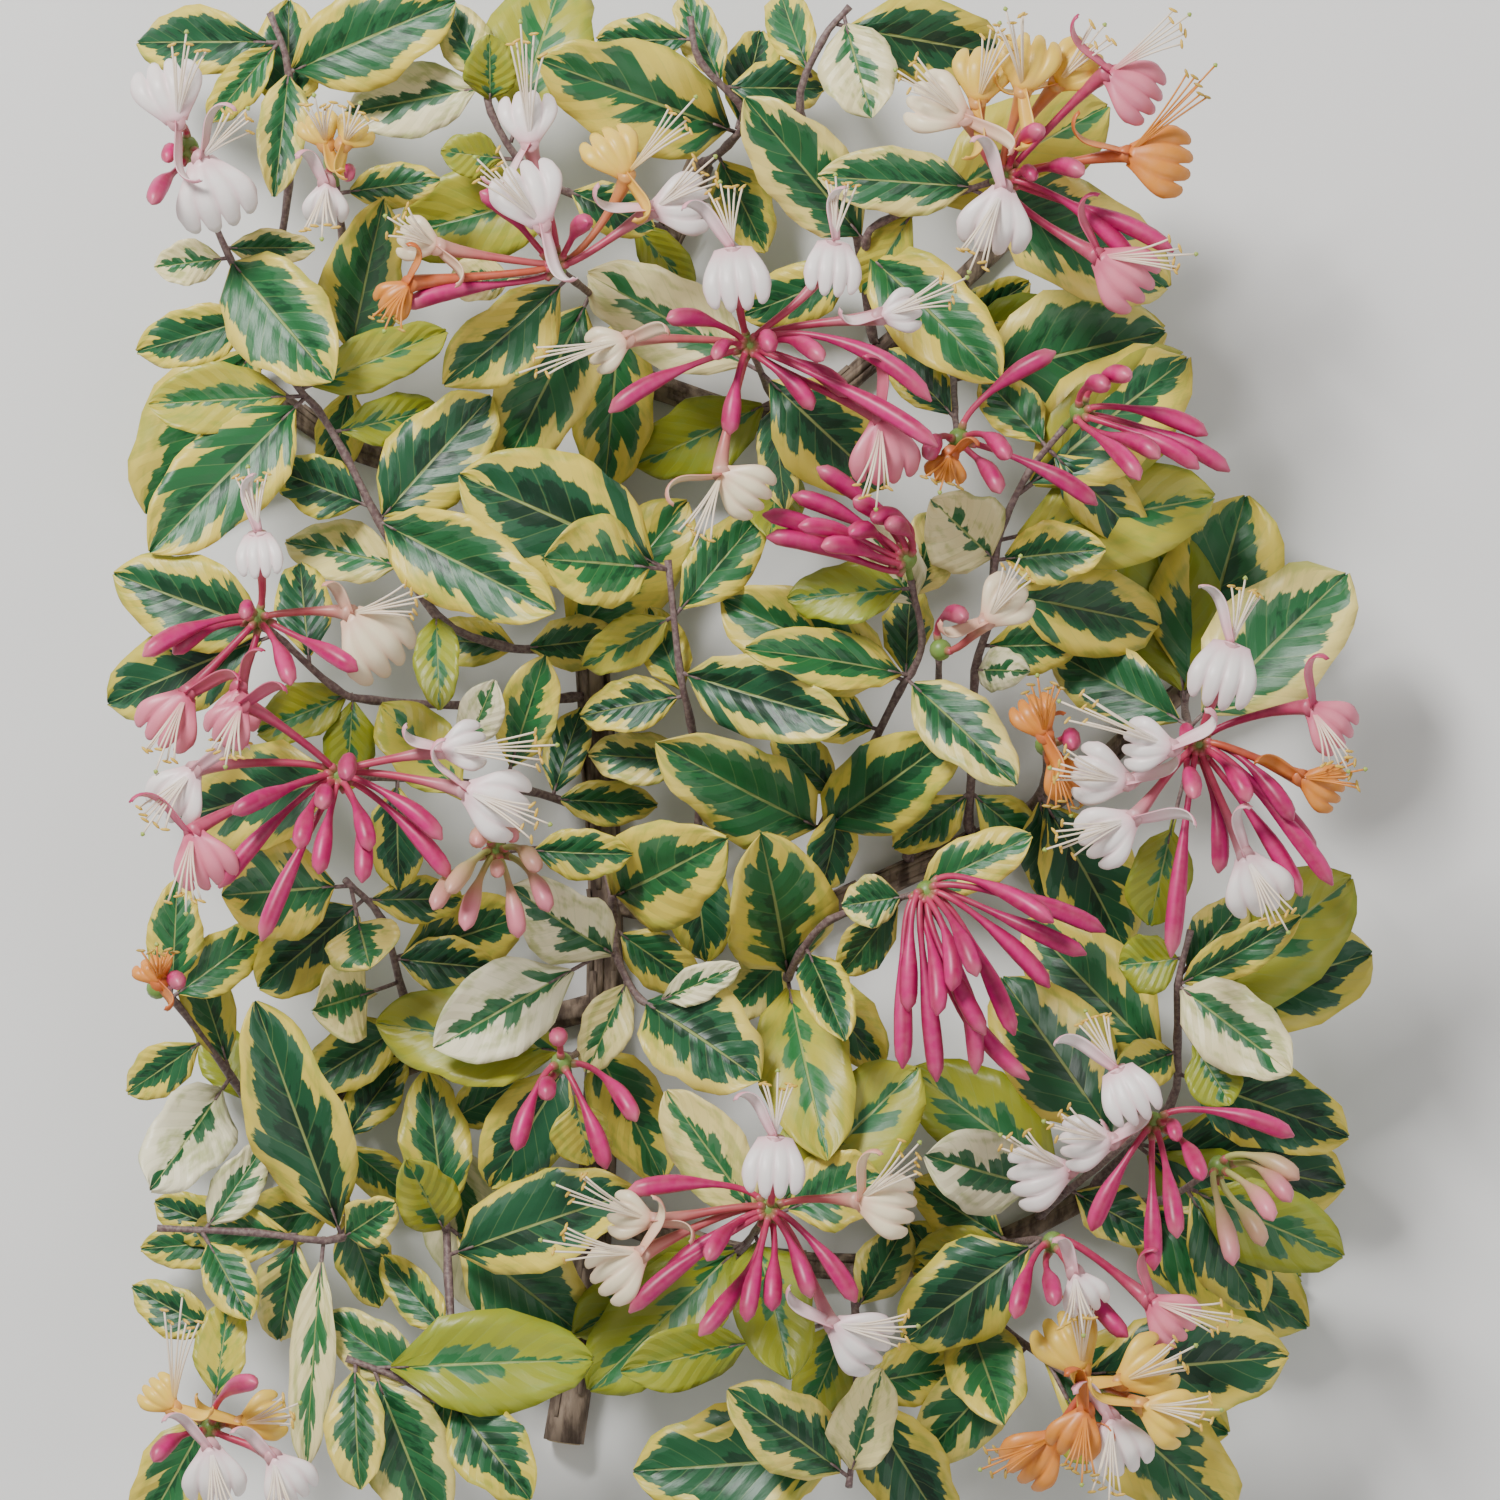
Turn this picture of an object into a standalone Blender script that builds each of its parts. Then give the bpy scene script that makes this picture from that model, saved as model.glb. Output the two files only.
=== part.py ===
"""Honeysuckle vine, cut and lying down: a barked vine, leafy shoots and flower heads.

The vine lies on the plane z = 0 and is seen from above, with +Y the upper side of the view.
Tables of places are read off the photograph, in pixels across and down, with a height in mm.
"""

import math
import random

import bmesh
import bpy
import numpy as np
from mathutils.bvhtree import BVHTree

# Driving dimensions, in metres
PIXEL = 0.00025
ORIGIN_PX = (596, 1125)
VIEW_PX = ((150, 1350), (0, 1500))
BARE_TRUNK_PX = ((572, 622), (605, 830))
MM = 0.001
GAP = 0.0003
CLEAR = 0.00045
FLOOR_CLEAR = 0.0006
BLADE_THICK = 0.0007
PETAL_THICK = 0.0006
PETIOLE_HALF = 0.0007
SHOOT_RADII = (0.0014, 0.0009)
PEDUNCLE_RADIUS = 0.0009
CORE_RADIUS = 0.0042
BUD_RADII = (0.0010, 0.0012, 0.0024)
TUBE_RADII = (0.0009, 0.0011, 0.0019)
STAMEN_RADIUS = 0.00045
FLAT = np.array([1.0, 1.0, 0.0])
BUD_LENGTHS = (0.026, 0.042)
WOODY_SIDES = 8
FILL_LEAVES = 45
INNER_LEAVES = 100
SEED = 11
HEAD_FREE = 0.011
ROOT_SPREAD = 0.55
ROOT_SINK = 0.0025
FOLDED = (-1.0, 0.0, 1.0)
LEVEL = (-1.0, 1.0)

# Barked vine: (radius at the start, radius at the end), then places across and down
WOODY = {
    "trunk": ((5.0, 3.6), [(560, 1455), (590, 1250), (602, 1000), (600, 830), (590, 650), (600, 480),
                           (640, 300), (700, 150)]),
    "left_low": ((3.6, 2.7), [(601, 1010), (480, 1040), (330, 1100), (235, 1190)]),
    "right_mid": ((3.8, 2.7), [(600, 900), (760, 930), (900, 880), (1060, 800), (1190, 690)]),
    "right_low": ((3.7, 2.7), [(593, 1220), (760, 1270), (950, 1270), (1110, 1200)]),
    "left_up": ((3.5, 2.6), [(596, 560), (470, 480), (340, 440), (240, 370)]),
    "right_up": ((3.5, 2.6), [(625, 370), (780, 410), (900, 330), (1010, 230)]),
}

# Shoots: the first place is on the barked vine, the others are (across, down, height in mm)
SHOOTS = {
    "far_left": [(590, 650), (540, 648, 20), (500, 645, 30), (435, 615, 42), (378, 520, 50), (345, 455, 53),
                 (318, 410, 55), (290, 375, 56), (230, 258, 56), (205, 200, 55)],
    "top_left": [(245, 375), (262, 300, 18), (285, 180, 34), (287, 70, 46), (268, 10, 46)],
    "v": [(340, 440), (345, 330, 24), (340, 230, 44), (336, 185, 53)],
    "c": [(640, 300), (605, 300, 30), (575, 282, 58), (564, 274, 66)],
    "top_mid": [(668, 230), (600, 200, 30), (530, 170, 42), (490, 110, 48), (485, 60, 48)],
    "top_right_mid": [(700, 150), (728, 138, 28), (745, 110, 44), (700, 60, 50), (690, 15, 50)],
    "b": [(780, 410), (768, 385, 34), (754, 358, 68)],
    "top_right": [(880, 345), (850, 200, 26), (800, 110, 46), (822, 40, 50), (850, 5, 50)],
    "a": [(900, 330), (872, 290, 30), (866, 242, 52), (882, 222, 56), (950, 197, 60), (990, 184, 63)],
    "i": [(940, 295), (955, 350, 26), (955, 405, 46), (957, 432, 56)],
    "j": [(975, 843), (975, 760, 24), (977, 670, 38), (990, 620, 46), (995, 560, 52), (1005, 520, 54),
          (1030, 470, 58), (1064, 428, 63)],
    "h": [(830, 905), (822, 830, 26), (860, 770, 40), (900, 690, 50), (912, 672, 52), (922, 640, 58),
          (910, 580, 65)],
    "l": [(790, 925), (788, 980, 30), (800, 955, 42), (830, 920, 52), (890, 900, 62), (912, 894, 69)],
    "k": [(1185, 695), (1190, 715, 30), (1194, 738, 65)],
    "u": [(1050, 805), (1048, 780, 30), (1046, 752, 52)],
    "t": [(930, 866), (945, 760, 20), (940, 690, 40), (939, 658, 53)],
    "right_side": [(1108, 1200), (1175, 1110, 24), (1180, 1040, 40), (1178, 985, 54), (1190, 930, 58)],
    "m": [(1060, 1222), (1100, 1170, 34), (1142, 1128, 61)],
    "p": [(1110, 1200), (1165, 1205, 30), (1210, 1172, 53)],
    "q": [(1000, 1250), (1035, 1243, 40), (1048, 1240, 56)],
    "s": [(950, 1270), (1000, 1330, 26), (1060, 1370, 46), (1082, 1383, 53)],
    "bottom_right": [(850, 1272), (858, 1350, 24), (856, 1430, 40), (849, 1488, 50)],
    "n": [(740, 1262), (755, 1235, 40), (766, 1208, 70)],
    "o": [(600, 1040), (580, 1052, 36), (565, 1060, 53)],
    "mid": [(690, 915), (700, 800, 24), (690, 720, 42), (680, 672, 50), (668, 560, 54)],
    "mid_lower": [(602, 870), (612, 905, 26), (616, 957, 40), (640, 1000, 48), (665, 1005, 50)],
    "f": [(598, 800), (520, 790, 26), (430, 780, 44), (365, 777, 66), (350, 776, 72)],
    "g": [(600, 850), (550, 850, 30), (505, 850, 56)],
    "e": [(592, 700), (480, 705, 24), (370, 700, 46), (335, 688, 54), (285, 642, 62), (270, 628, 66)],
    "left_mid": [(420, 1062), (400, 1000, 26), (380, 920, 44), (345, 880, 54)],
    "lower_left": [(330, 1100), (338, 1180, 26), (340, 1240, 42), (250, 1234, 46), (155, 1230, 46)],
    "lower_mid": [(420, 1062), (440, 1180, 22), (446, 1280, 36), (450, 1400, 46), (400, 1380, 48),
                  (345, 1360, 48)],
    "r": [(238, 1185), (225, 1290, 26), (216, 1390, 48), (213, 1418, 55)],
    "w": [(262, 1155), (225, 1080, 26), (175, 1005, 46), (163, 993, 51)],
}

# Flower heads: core, carrying shoot, open flowers as (age, throat, lip end, strap end, stamen end), bud ends
HEADS = {
    "a": ((1003, 180, 74), "a", [
        ("white", (1000, 196), (985, 262), (990, 135), None),
        ("yellow", (975, 108), (985, 52), None, None),
        ("cream", (962, 125), (907, 98), None, None),
        ("yellow", (1020, 98), (1030, 40), None, None),
        ("yellow", (1054, 90), (1096, 55), (1100, 95), None),
        ("pink", (1105, 80), (1157, 112), None, (1185, 28)),
        ("orange", (1125, 160), (1190, 172), None, (1210, 75)),
        ("pink", (1095, 262), (1147, 300), None, (1190, 262)),
    ], [(1035, 135), (1078, 175), (1030, 180), (1172, 250), (1137, 270)]),
    "b": ((750, 350, 82), "b", [
        ("white", (740, 316), (733, 256), (715, 195), None),
        ("white", (828, 300), (832, 248), (795, 200), None),
        ("white", (880, 322), (920, 312), None, (965, 290)),
        ("cream", (722, 478), (768, 508), None, (690, 550)),
        ("cream", (628, 345), (588, 362), (590, 420), (520, 375)),
        ("pink", (880, 425), (886, 490), None, None),
    ], [(770, 350), (822, 360), (850, 395), (715, 358), (930, 400), (937, 446), (608, 410), (670, 320),
        (728, 438), (815, 410)]),
    "c": ((558, 268, 76), "c", [
        ("white", (545, 232), (518, 170), (470, 200), None),
        ("white", (532, 150), (528, 96), None, (527, 33)),
        ("white", (655, 215), (713, 205), None, None),
        ("yellow", (628, 180), (600, 133), (632, 110), (700, 110)),
        ("cream", (440, 252), (400, 238), (452, 210), None),
        ("orange", (412, 290), (385, 318), None, None),
    ], [(405, 305), (487, 195), (590, 225)]),
    "d": ((190, 150, 63), "far_left", [
        ("white", (182, 128), (165, 65), None, None),
        ("white", (206, 165), (232, 235), (205, 75), (255, 118)),
    ], [(172, 160), (160, 205)]),
    "v": ((335, 165, 62), "v", [
        ("yellow", (330, 150), (316, 118), None, None),
        ("yellow", (348, 150), (368, 126), None, None),
        ("white", (330, 188), (328, 230), None, None),
    ], [(352, 178)]),
    "e": ((262, 620, 75), "e", [
        ("white", (268, 578), (264, 536), (268, 490), None),
        ("cream", (355, 615), (402, 672), (345, 585), (430, 600)),
        ("pink", (192, 695), (158, 745), None, None),
        ("pink", (245, 690), (240, 735), None, None),
    ], [(252, 612), (300, 680), (178, 648), (150, 650), (365, 665)]),
    "f": ((342, 775, 84), "f", [
        ("white", (200, 770), (168, 818), None, (150, 830)),
        ("white", (446, 750), (492, 742), (430, 665), (560, 750)),
        ("white", (470, 790), (532, 815), None, None),
        ("pink", (200, 832), (222, 888), None, None),
        ("pink", (250, 705), (226, 745), None, None),
    ], [(355, 770), (330, 800), (450, 832), (458, 872), (378, 845), (370, 878), (325, 870), (305, 843),
        (265, 937), (222, 882), (240, 805)]),
    "g": ((497, 850, 66), "g", [], [(541, 862), (553, 905), (437, 900), (453, 882), (468, 922), (522, 935),
                                    (500, 868), (480, 835), (516, 832)]),
    "h": ((905, 560, 73), "h", [], [(768, 532), (765, 510), (795, 492), (820, 466), (855, 498), (800, 522),
                                    (822, 542), (850, 530), (888, 522), (872, 515)]),
    "i": ((958, 440, 66), "i", [
        ("orange", (948, 458), (940, 486), None, None),
    ], [(1050, 350), (1098, 500), (998, 490), (1005, 455), (925, 455)]),
    "j": ((1078, 414, 72), "j", [], [(1205, 430), (1228, 467), (1197, 465), (1135, 478), (1155, 455),
                                     (1122, 375), (1100, 385)]),
    "t": ((940, 650, 62), "t", [
        ("cream", (985, 622), (1022, 584), None, None),
    ], [(960, 612)]),
    "k": ((1195, 745, 77), "k", [
        ("white", (1208, 704), (1225, 645), None, (1222, 555)),
        ("white", (1165, 748), (1115, 742), None, (1055, 700)),
        ("white", (1122, 782), (1066, 768), None, None),
        ("white", (1128, 818), (1078, 850), None, (1040, 845)),
        ("white", (1240, 855), (1264, 914), None, None),
        ("orange", (1296, 778), (1338, 795), None, None),
        ("pink", (1305, 708), (1345, 742), (1285, 650), None),
    ], [(1180, 735), (1185, 790), (1243, 795), (1290, 815), (1315, 850), (1330, 880), (1300, 892),
        (1215, 872), (1165, 955)]),
    "u": ((1045, 745, 62), "u", [
        ("orange", (1042, 735), (1022, 696), None, None),
        ("orange", (1052, 758), (1074, 796), None, None),
    ], [(1070, 740)]),
    "l": ((925, 890, 78), "l", [], [(1050, 912), (1103, 922), (1085, 945), (975, 968), (1050, 980), (905, 1008),
                                    (935, 1010), (900, 1065), (935, 1078), (985, 1030), (1015, 1030),
                                    (1030, 1075), (975, 1070), (950, 985)]),
    "m": ((1150, 1120, 72), "m", [
        ("white", (1135, 1112), (1112, 1064), None, None),
        ("white", (1108, 1138), (1056, 1142), None, None),
        ("white", (1066, 1168), (1006, 1182), None, (1000, 1130)),
    ], [(1172, 1128), (1195, 1165), (1150, 1266), (1172, 1228), (1085, 1225), (1290, 1125)]),
    "p": ((1218, 1165, 62), "p", [], [(1295, 1168), (1287, 1190), (1268, 1208), (1262, 1238), (1228, 1255)]),
    "q": ((1052, 1240, 66), "q", [
        ("pink", (1148, 1298), (1190, 1332), None, (1235, 1318)),
        ("white", (1072, 1268), (1090, 1308), None, None),
    ], [(1010, 1308), (1128, 1328), (1050, 1290)]),
    "n": ((768, 1205, 82), "n", [
        ("white", (772, 1186), (775, 1130), None, None),
        ("cream", (858, 1195), (916, 1205), (850, 1145), (920, 1140)),
        ("cream", (652, 1215), (608, 1205), None, (560, 1172)),
        ("cream", (642, 1248), (595, 1282), None, (545, 1230)),
        ("white", (832, 1318), (886, 1350), None, (915, 1320)),
    ], [(630, 1178), (627, 1300), (660, 1272), (707, 1243), (697, 1323), (745, 1310), (772, 1300),
        (812, 1285), (858, 1290)]),
    "o": ((562, 1062, 62), "o", [], [(548, 1088), (640, 1112), (610, 1165), (515, 1145), (560, 1030)]),
    "r": ((212, 1425, 64), "r", [
        ("white", (216, 1440), (222, 1498), None, None),
        ("white", (278, 1452), (306, 1496), None, None),
        ("yellow", (178, 1402), (150, 1376), None, (190, 1290)),
        ("yellow", (245, 1420), (290, 1406), None, None),
    ], [(160, 1445), (262, 1368)]),
    "s": ((1092, 1385, 62), "s", [
        ("yellow", (1080, 1366), (1050, 1310), None, None),
        ("yellow", (1118, 1376), (1172, 1348), None, None),
        ("white", (1108, 1412), (1125, 1470), None, None),
        ("orange", (1052, 1432), (1010, 1474), None, None),
        ("orange", (1082, 1404), (1062, 1452), None, None),
        ("yellow", (1138, 1398), (1190, 1420), None, None),
    ], []),
    "w": ((158, 988, 58), "w", [
        ("orange", (164, 980), (152, 955), None, None),
    ], [(185, 975)]),
}

# Leaves: shoot, base, tip, width, height of the tip in mm, colouring
LEAVES = [
    ("top_right_mid", (735, 130), (537, 60), 105, 60, "green"),
    ("top_right", (850, 5), (872, 118), 75, 56, "cream"),
    ("a", (862, 240), (745, 100), 85, 64, "green"),
    ("a", (975, 190), (818, 178), 66, 62, "green"),
    ("a", (870, 250), (1000, 382), 90, 60, "green"),
    ("top_left", (287, 70), (275, 198), 50, 60, "green"),
    ("top_left", (287, 70), (455, 0), 95, 52, "green"),
    ("top_left", (300, 75), (455, 78), 40, 58, "green"),
    ("v", (345, 352), (385, 200), 80, 60, "green"),
    ("v", (350, 190), (440, 180), 44, 56, "green"),
    ("far_left", (232, 257), (335, 383), 100, 68, "green"),
    ("far_left", (228, 250), (315, 248), 36, 62, "green"),
    ("far_left", (222, 256), (155, 268), 44, 58, "cream"),
    ("top_mid", (485, 100), (490, 35), 50, 58, "yellow"),
    ("top_mid", (500, 165), (440, 150), 44, 50, "yellow"),
    ("c", (520, 300), (450, 285), 44, 64, "cream"),
    ("far_left", (300, 395), (445, 330), 56, 48, "yellow"),
    ("far_left", (290, 405), (150, 405), 70, 60, "yellow"),
    ("far_left", (300, 405), (152, 553), 95, 64, "green"),
    ("far_left", (365, 515), (275, 470), 60, 50, "dark"),
    ("far_left", (378, 520), (556, 612), 90, 66, "green"),
    ("far_left", (378, 520), (490, 395), 90, 46, "dark"),
    ("mid", (660, 560), (460, 475), 125, 60, "dark"),
    ("mid", (665, 545), (545, 560), 90, 70, "green"),
    ("mid", (640, 570), (660, 640), 40, 64, "green"),
    ("mid", (682, 675), (848, 722), 80, 66, "dark"),
    ("h", (905, 672), (745, 650), 60, 70, "green"),
    ("h", (912, 680), (1015, 785), 70, 66, "green"),
    ("h", (825, 828), (960, 730), 90, 56, "green"),
    ("h", (822, 827), (656, 742), 95, 58, "green"),
    ("mid_lower", (607, 898), (728, 838), 105, 62, "green"),
    ("mid_lower", (612, 957), (510, 885), 80, 60, "white"),
    ("mid_lower", (558, 948), (434, 1048), 90, 56, "white"),
    ("mid_lower", (638, 997), (760, 1080), 100, 58, "dark"),
    ("mid_lower", (665, 1005), (740, 965), 36, 62, "cream"),
    ("l", (787, 985), (760, 832), 110, 66, "green"),
    ("l", (790, 990), (828, 1160), 95, 60, "yellow"),
    ("l", (815, 950), (845, 1040), 50, 66, "dark"),
    ("l", (905, 880), (1030, 835), 56, 70, "green"),
    ("left_mid", (335, 882), (223, 895), 100, 62, "green"),
    ("left_mid", (370, 850), (372, 968), 75, 66, "green"),
    ("left_mid", (430, 975), (312, 1010), 80, 56, "cream"),
    ("lower_left", (338, 1235), (257, 1000), 95, 64, "dark"),
    ("w", (235, 1065), (182, 930), 50, 50, "green"),
    ("w", (235, 1065), (150, 1190), 80, 56, "white"),
    ("lower_left", (345, 1238), (395, 1203), 50, 52, "green"),
    ("lower_left", (330, 1260), (195, 1335), 66, 52, "dark"),
    ("lower_left", (205, 1215), (250, 1320), 50, 56, "green"),
    ("lower_left", (325, 1260), (305, 1470), 46, 46, "cream"),
    ("lower_mid", (347, 1367), (360, 1490), 60, 52, "green"),
    ("lower_mid", (452, 1403), (530, 1500), 75, 54, "dark"),
    ("lower_mid", (447, 1268), (640, 1190), 95, 56, "dark"),
    ("lower_mid", (440, 1250), (405, 1160), 60, 50, "yellow"),
    ("n", (765, 1240), (790, 1378), 80, 62, "yellow"),
    ("n", (790, 1230), (880, 1175), 80, 56, "green"),
    ("bottom_right", (848, 1490), (728, 1388), 80, 60, "green"),
    ("bottom_right", (850, 1488), (882, 1367), 62, 62, "cream"),
    ("bottom_right", (870, 1480), (955, 1388), 66, 58, "green"),
    ("bottom_right", (700, 1330), (620, 1375), 60, 40, "yellow"),
    ("o", (570, 1100), (590, 1165), 60, 50, "yellow"),
    ("m", (1040, 1165), (925, 1155), 85, 54, "cream"),
    ("s", (930, 1325), (1005, 1425), 75, 54, "green"),
    ("s", (1005, 1420), (1100, 1465), 60, 48, "yellow"),
    ("right_side", (1180, 1050), (1110, 1080), 50, 50, "green"),
    ("right_side", (1215, 1020), (1232, 1105), 56, 52, "yellow"),
    ("right_side", (1180, 985), (1290, 1072), 80, 62, "cream"),
    ("right_side", (1175, 985), (1298, 915), 46, 66, "green"),
    ("right_side", (1190, 975), (1245, 900), 56, 60, "green"),
    ("right_side", (1180, 960), (1120, 965), 60, 52, "yellow"),
    ("j", (1000, 560), (930, 500), 85, 64, "cream"),
    ("j", (1005, 560), (1105, 550), 60, 62, "green"),
    ("j", (978, 665), (1030, 672), 44, 56, "cream"),
    ("k", (1080, 900), (1150, 925), 60, 54, "yellow"),
    ("far_left", (435, 615), (440, 710), 46, 52, "yellow"),
    ("f", (450, 740), (495, 680), 44, 56, "cream"),
    ("f", (510, 760), (545, 655), 60, 52, "green"),
    ("g", (460, 800), (380, 705), 70, 50, "yellow"),
    ("b", (770, 400), (785, 512), 44, 60, "dark"),
    ("b", (735, 455), (770, 540), 60, 52, "yellow"),
    ("h", (905, 590), (788, 600), 60, 60, "yellow"),
    ("h", (912, 610), (870, 525), 66, 66, "cream"),
    ("h", (915, 600), (935, 512), 60, 62, "cream"),
    ("l", (912, 896), (842, 905), 50, 66, "green"),
    ("l", (915, 885), (880, 850), 44, 72, "cream"),
]


def at(across, down, height_mm):
    """Place a point of the photograph on the surface the vine lies on."""
    return np.array([(across - ORIGIN_PX[0]) * PIXEL, (ORIGIN_PX[1] - down) * PIXEL, height_mm * MM])


def unit(vector):
    length = float(np.linalg.norm(vector))
    return vector / length if length > 1e-12 else np.array([0.0, 0.0, 1.0])


def turn(vector, axis, angle):
    """Turn a vector round a unit axis."""
    cosine = math.cos(angle)
    sine = math.sin(angle)
    along = axis * float(np.dot(axis, vector)) * (1.0 - cosine)
    return vector * cosine + np.cross(axis, vector) * sine + along


def bezier(points, t):
    """Point on a curve of two to four control points."""
    points = [np.asarray(point, float) for point in points]
    while len(points) > 1:
        points = [a * (1.0 - t) + b * t for a, b in zip(points, points[1:])]
    return points[0]


def smooth_path(points, steps):
    """Catmull curve through the points, with a number of steps in each span."""
    points = [np.asarray(point, float) for point in points]
    ends = [points[0] * 2 - points[1]] + points + [points[-1] * 2 - points[-2]]
    path = []
    for k in range(1, len(ends) - 2):
        p0, p1, p2, p3 = ends[k - 1:k + 3]
        for step in range(steps):
            t = step / steps
            path.append(0.5 * (2 * p1 + (p2 - p0) * t + (2 * p0 - 5 * p1 + 4 * p2 - p3) * t * t
                               + (3 * p1 - p0 - 3 * p2 + p3) * t ** 3))
    path.append(points[-1])
    return path


def loft(rings, start_cap=True, end_cap=True):
    """Closed mesh through rings of points; a ring of one point makes a tip."""
    verts = []
    starts = []
    for ring in rings:
        starts.append(len(verts))
        verts.extend(ring)
    faces = []
    for (ring, first), (following, second) in zip(zip(rings, starts), zip(rings[1:], starts[1:])):
        count = len(ring)
        if len(following) == 1:
            faces.extend([(first + i, first + (i + 1) % count, second) for i in range(count)])
        else:
            for i in range(count):
                a, b = first + i, first + (i + 1) % count
                c, d = second + (i + 1) % count, second + i
                faces.extend([(a, b, c), (a, c, d)])
    if start_cap:
        faces.extend([(0, i + 1, i) for i in range(1, len(rings[0]) - 1)])
    if end_cap and len(rings[-1]) > 2:
        first = starts[-1]
        faces.extend([(first, first + i, first + i + 1) for i in range(1, len(rings[-1]) - 1)])
    return np.array(verts), faces


def tube(path, radii, sides, up=(0.0, 0.0, 1.0), squash=1.0, tip=False):
    """Closed round piece along a path; every section keeps the same side up."""
    path = [np.asarray(point, float) for point in path]
    rings = []
    side = None
    for k, point in enumerate(path):
        ahead = unit(path[min(k + 1, len(path) - 1)] - path[max(k - 1, 0)])
        if side is None:
            side = np.cross(np.asarray(up, float), ahead)
            if np.linalg.norm(side) < 0.2:
                side = np.cross(np.array([0.0, 1.0, 0.0]), ahead)
        side = unit(side - ahead * float(np.dot(side, ahead)))
        over = np.cross(ahead, side)
        ring = []
        for i in range(sides):
            angle = 2 * math.pi * (i + 0.5) / sides
            ring.append(point + (side * math.cos(angle) + over * (math.sin(angle) * squash)) * radii[k])
        rings.append(ring)
    if tip:
        rings[-1] = [path[-1]]
    return loft(rings)


SHEETS = {}


def sheet_faces(counts, holes=()):
    """Faces of a closed sheet of rows with the given counts; the upper face's points come first.

    A row pair named in holes is left open on both faces, for a stalk to join there.
    """
    key = (tuple(counts), tuple(holes))
    if key in SHEETS:
        return SHEETS[key]
    starts = [sum(counts[:k]) for k in range(len(counts))]
    total = sum(counts)
    top, rim = [], []
    for k, (near, far) in enumerate(zip(counts, counts[1:])):
        first, second = starts[k], starts[k + 1]
        i = j = 0
        while i < near - 1 or j < far - 1:
            if i < near - 1 and (j == far - 1 or (i + 1) * (far - 1) <= (j + 1) * (near - 1)):
                face = (first + i, first + i + 1, second + j)
                i += 1
            else:
                face = (first + i, second + j + 1, second + j)
                j += 1
            top.append((face, k in holes))
    edges = {}
    for face, _ in top:
        for pair in ((face[0], face[1]), (face[1], face[2]), (face[2], face[0])):
            edges[pair] = True
    for a, b in edges:
        if (b, a) not in edges:
            rim.extend([(b, a, a + total), (b, a + total, b + total)])
    faces = [face for face, hole in top if not hole]
    faces = faces + [(a + total, c + total, b + total) for a, b, c in faces] + rim
    SHEETS[key] = faces
    return faces


def rows_unit(vectors):
    return vectors / np.maximum(np.linalg.norm(vectors, axis=1, keepdims=True), 1e-9)


def leaf_points(leaf, u, v):
    """Points and normals of a blade; u runs from base to tip and v from edge to edge."""
    u = np.asarray(u, float)
    v = np.asarray(v, float)
    base, bend, tip = leaf["base"], leaf["bend"], leaf["tip"]
    one = u[:, None]
    spine = (1 - one) ** 2 * base + 2 * one * (1 - one) * bend + one ** 2 * tip
    ahead = rows_unit((1 - one) * (bend - base) + one * (tip - bend))
    side = rows_unit(leaf["side"] - ahead * (ahead @ leaf["side"])[:, None])
    normal = np.cross(side, ahead)
    t = np.clip((u - leaf["petiole"]) / (1.0 - leaf["petiole"]), 0.0, 1.0)
    half = np.maximum(leaf["half"] * np.clip(np.sin(np.pi * t ** 0.85), 0.0, 1.0) ** 0.66, PETIOLE_HALF)
    wave = leaf["wave"] * half * np.sin(6.5 * u + leaf["phase"] + np.where(v > 0, 1.3, 0.0)) * v * v
    lift = leaf["fold"] * np.abs(v) * half + wave
    return spine + side * (v * half)[:, None] + normal * lift[:, None], normal


def leaf_mesh(leaf):
    """Coarse closed leaf: a narrow stalk end, sections across the blade, and a tip."""
    inner = leaf["stations"]
    across = leaf["across"]
    u = [0.0] + [value for value in inner for _ in across] + [1.0]
    v = [0.0] + list(across) * len(inner) + [0.0]
    points, normals = leaf_points(leaf, u, v)
    verts = np.vstack([points + normals * BLADE_THICK / 2, points - normals * BLADE_THICK / 2])
    return verts, sheet_faces([1] + [len(across)] * len(inner) + [1])


def make_leaf(base, tip, width, petiole, roll, arch, fold, wave, phase, stations, look, across=FOLDED):
    """Settle the pose of a leaf from its base, its tip and a few turns."""
    ahead = unit(tip - base)
    side = np.cross(ahead, np.array([0.0, 0.0, 1.0]))
    if np.linalg.norm(side) < 0.1:
        side = np.array([1.0, 0.0, 0.0])
    side = turn(unit(side), ahead, roll)
    length = float(np.linalg.norm(tip - base))
    bend = (base + tip) / 2 + np.cross(side, ahead) * (arch * length)
    return {"kind": "leaf", "base": base, "tip": tip, "bend": bend, "side": side, "half": width / 2,
            "petiole": petiole, "fold": fold, "wave": wave, "phase": phase, "stations": stations,
            "across": across, "look": look}


def bud_mesh(bud):
    """Coarse closed bud: a slim neck that swells to a club before its tip."""
    curve = bud["curve"]
    path = [bezier(curve, t) for t in (0.0, 0.5, 0.84, 1.0)]
    return tube(path, (*[r * bud["size"] for r in BUD_RADII], 0.0), 3, tip=True)


LIP_COARSE = [
    [(0.06, -0.26), (0.06, 0.26)],
    [(0.5, -0.8), (0.52, 0.0), (0.5, 0.8)],
    [(0.8, -1.0), (0.98, -0.42), (0.84, 0.0), (0.98, 0.42), (0.8, 1.0)],
]
STRAP_COARSE = ((1.0, 0.75), (0.5, 1.0), (0.16, 0.9))
STRAP_HALF = 0.0018


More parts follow.
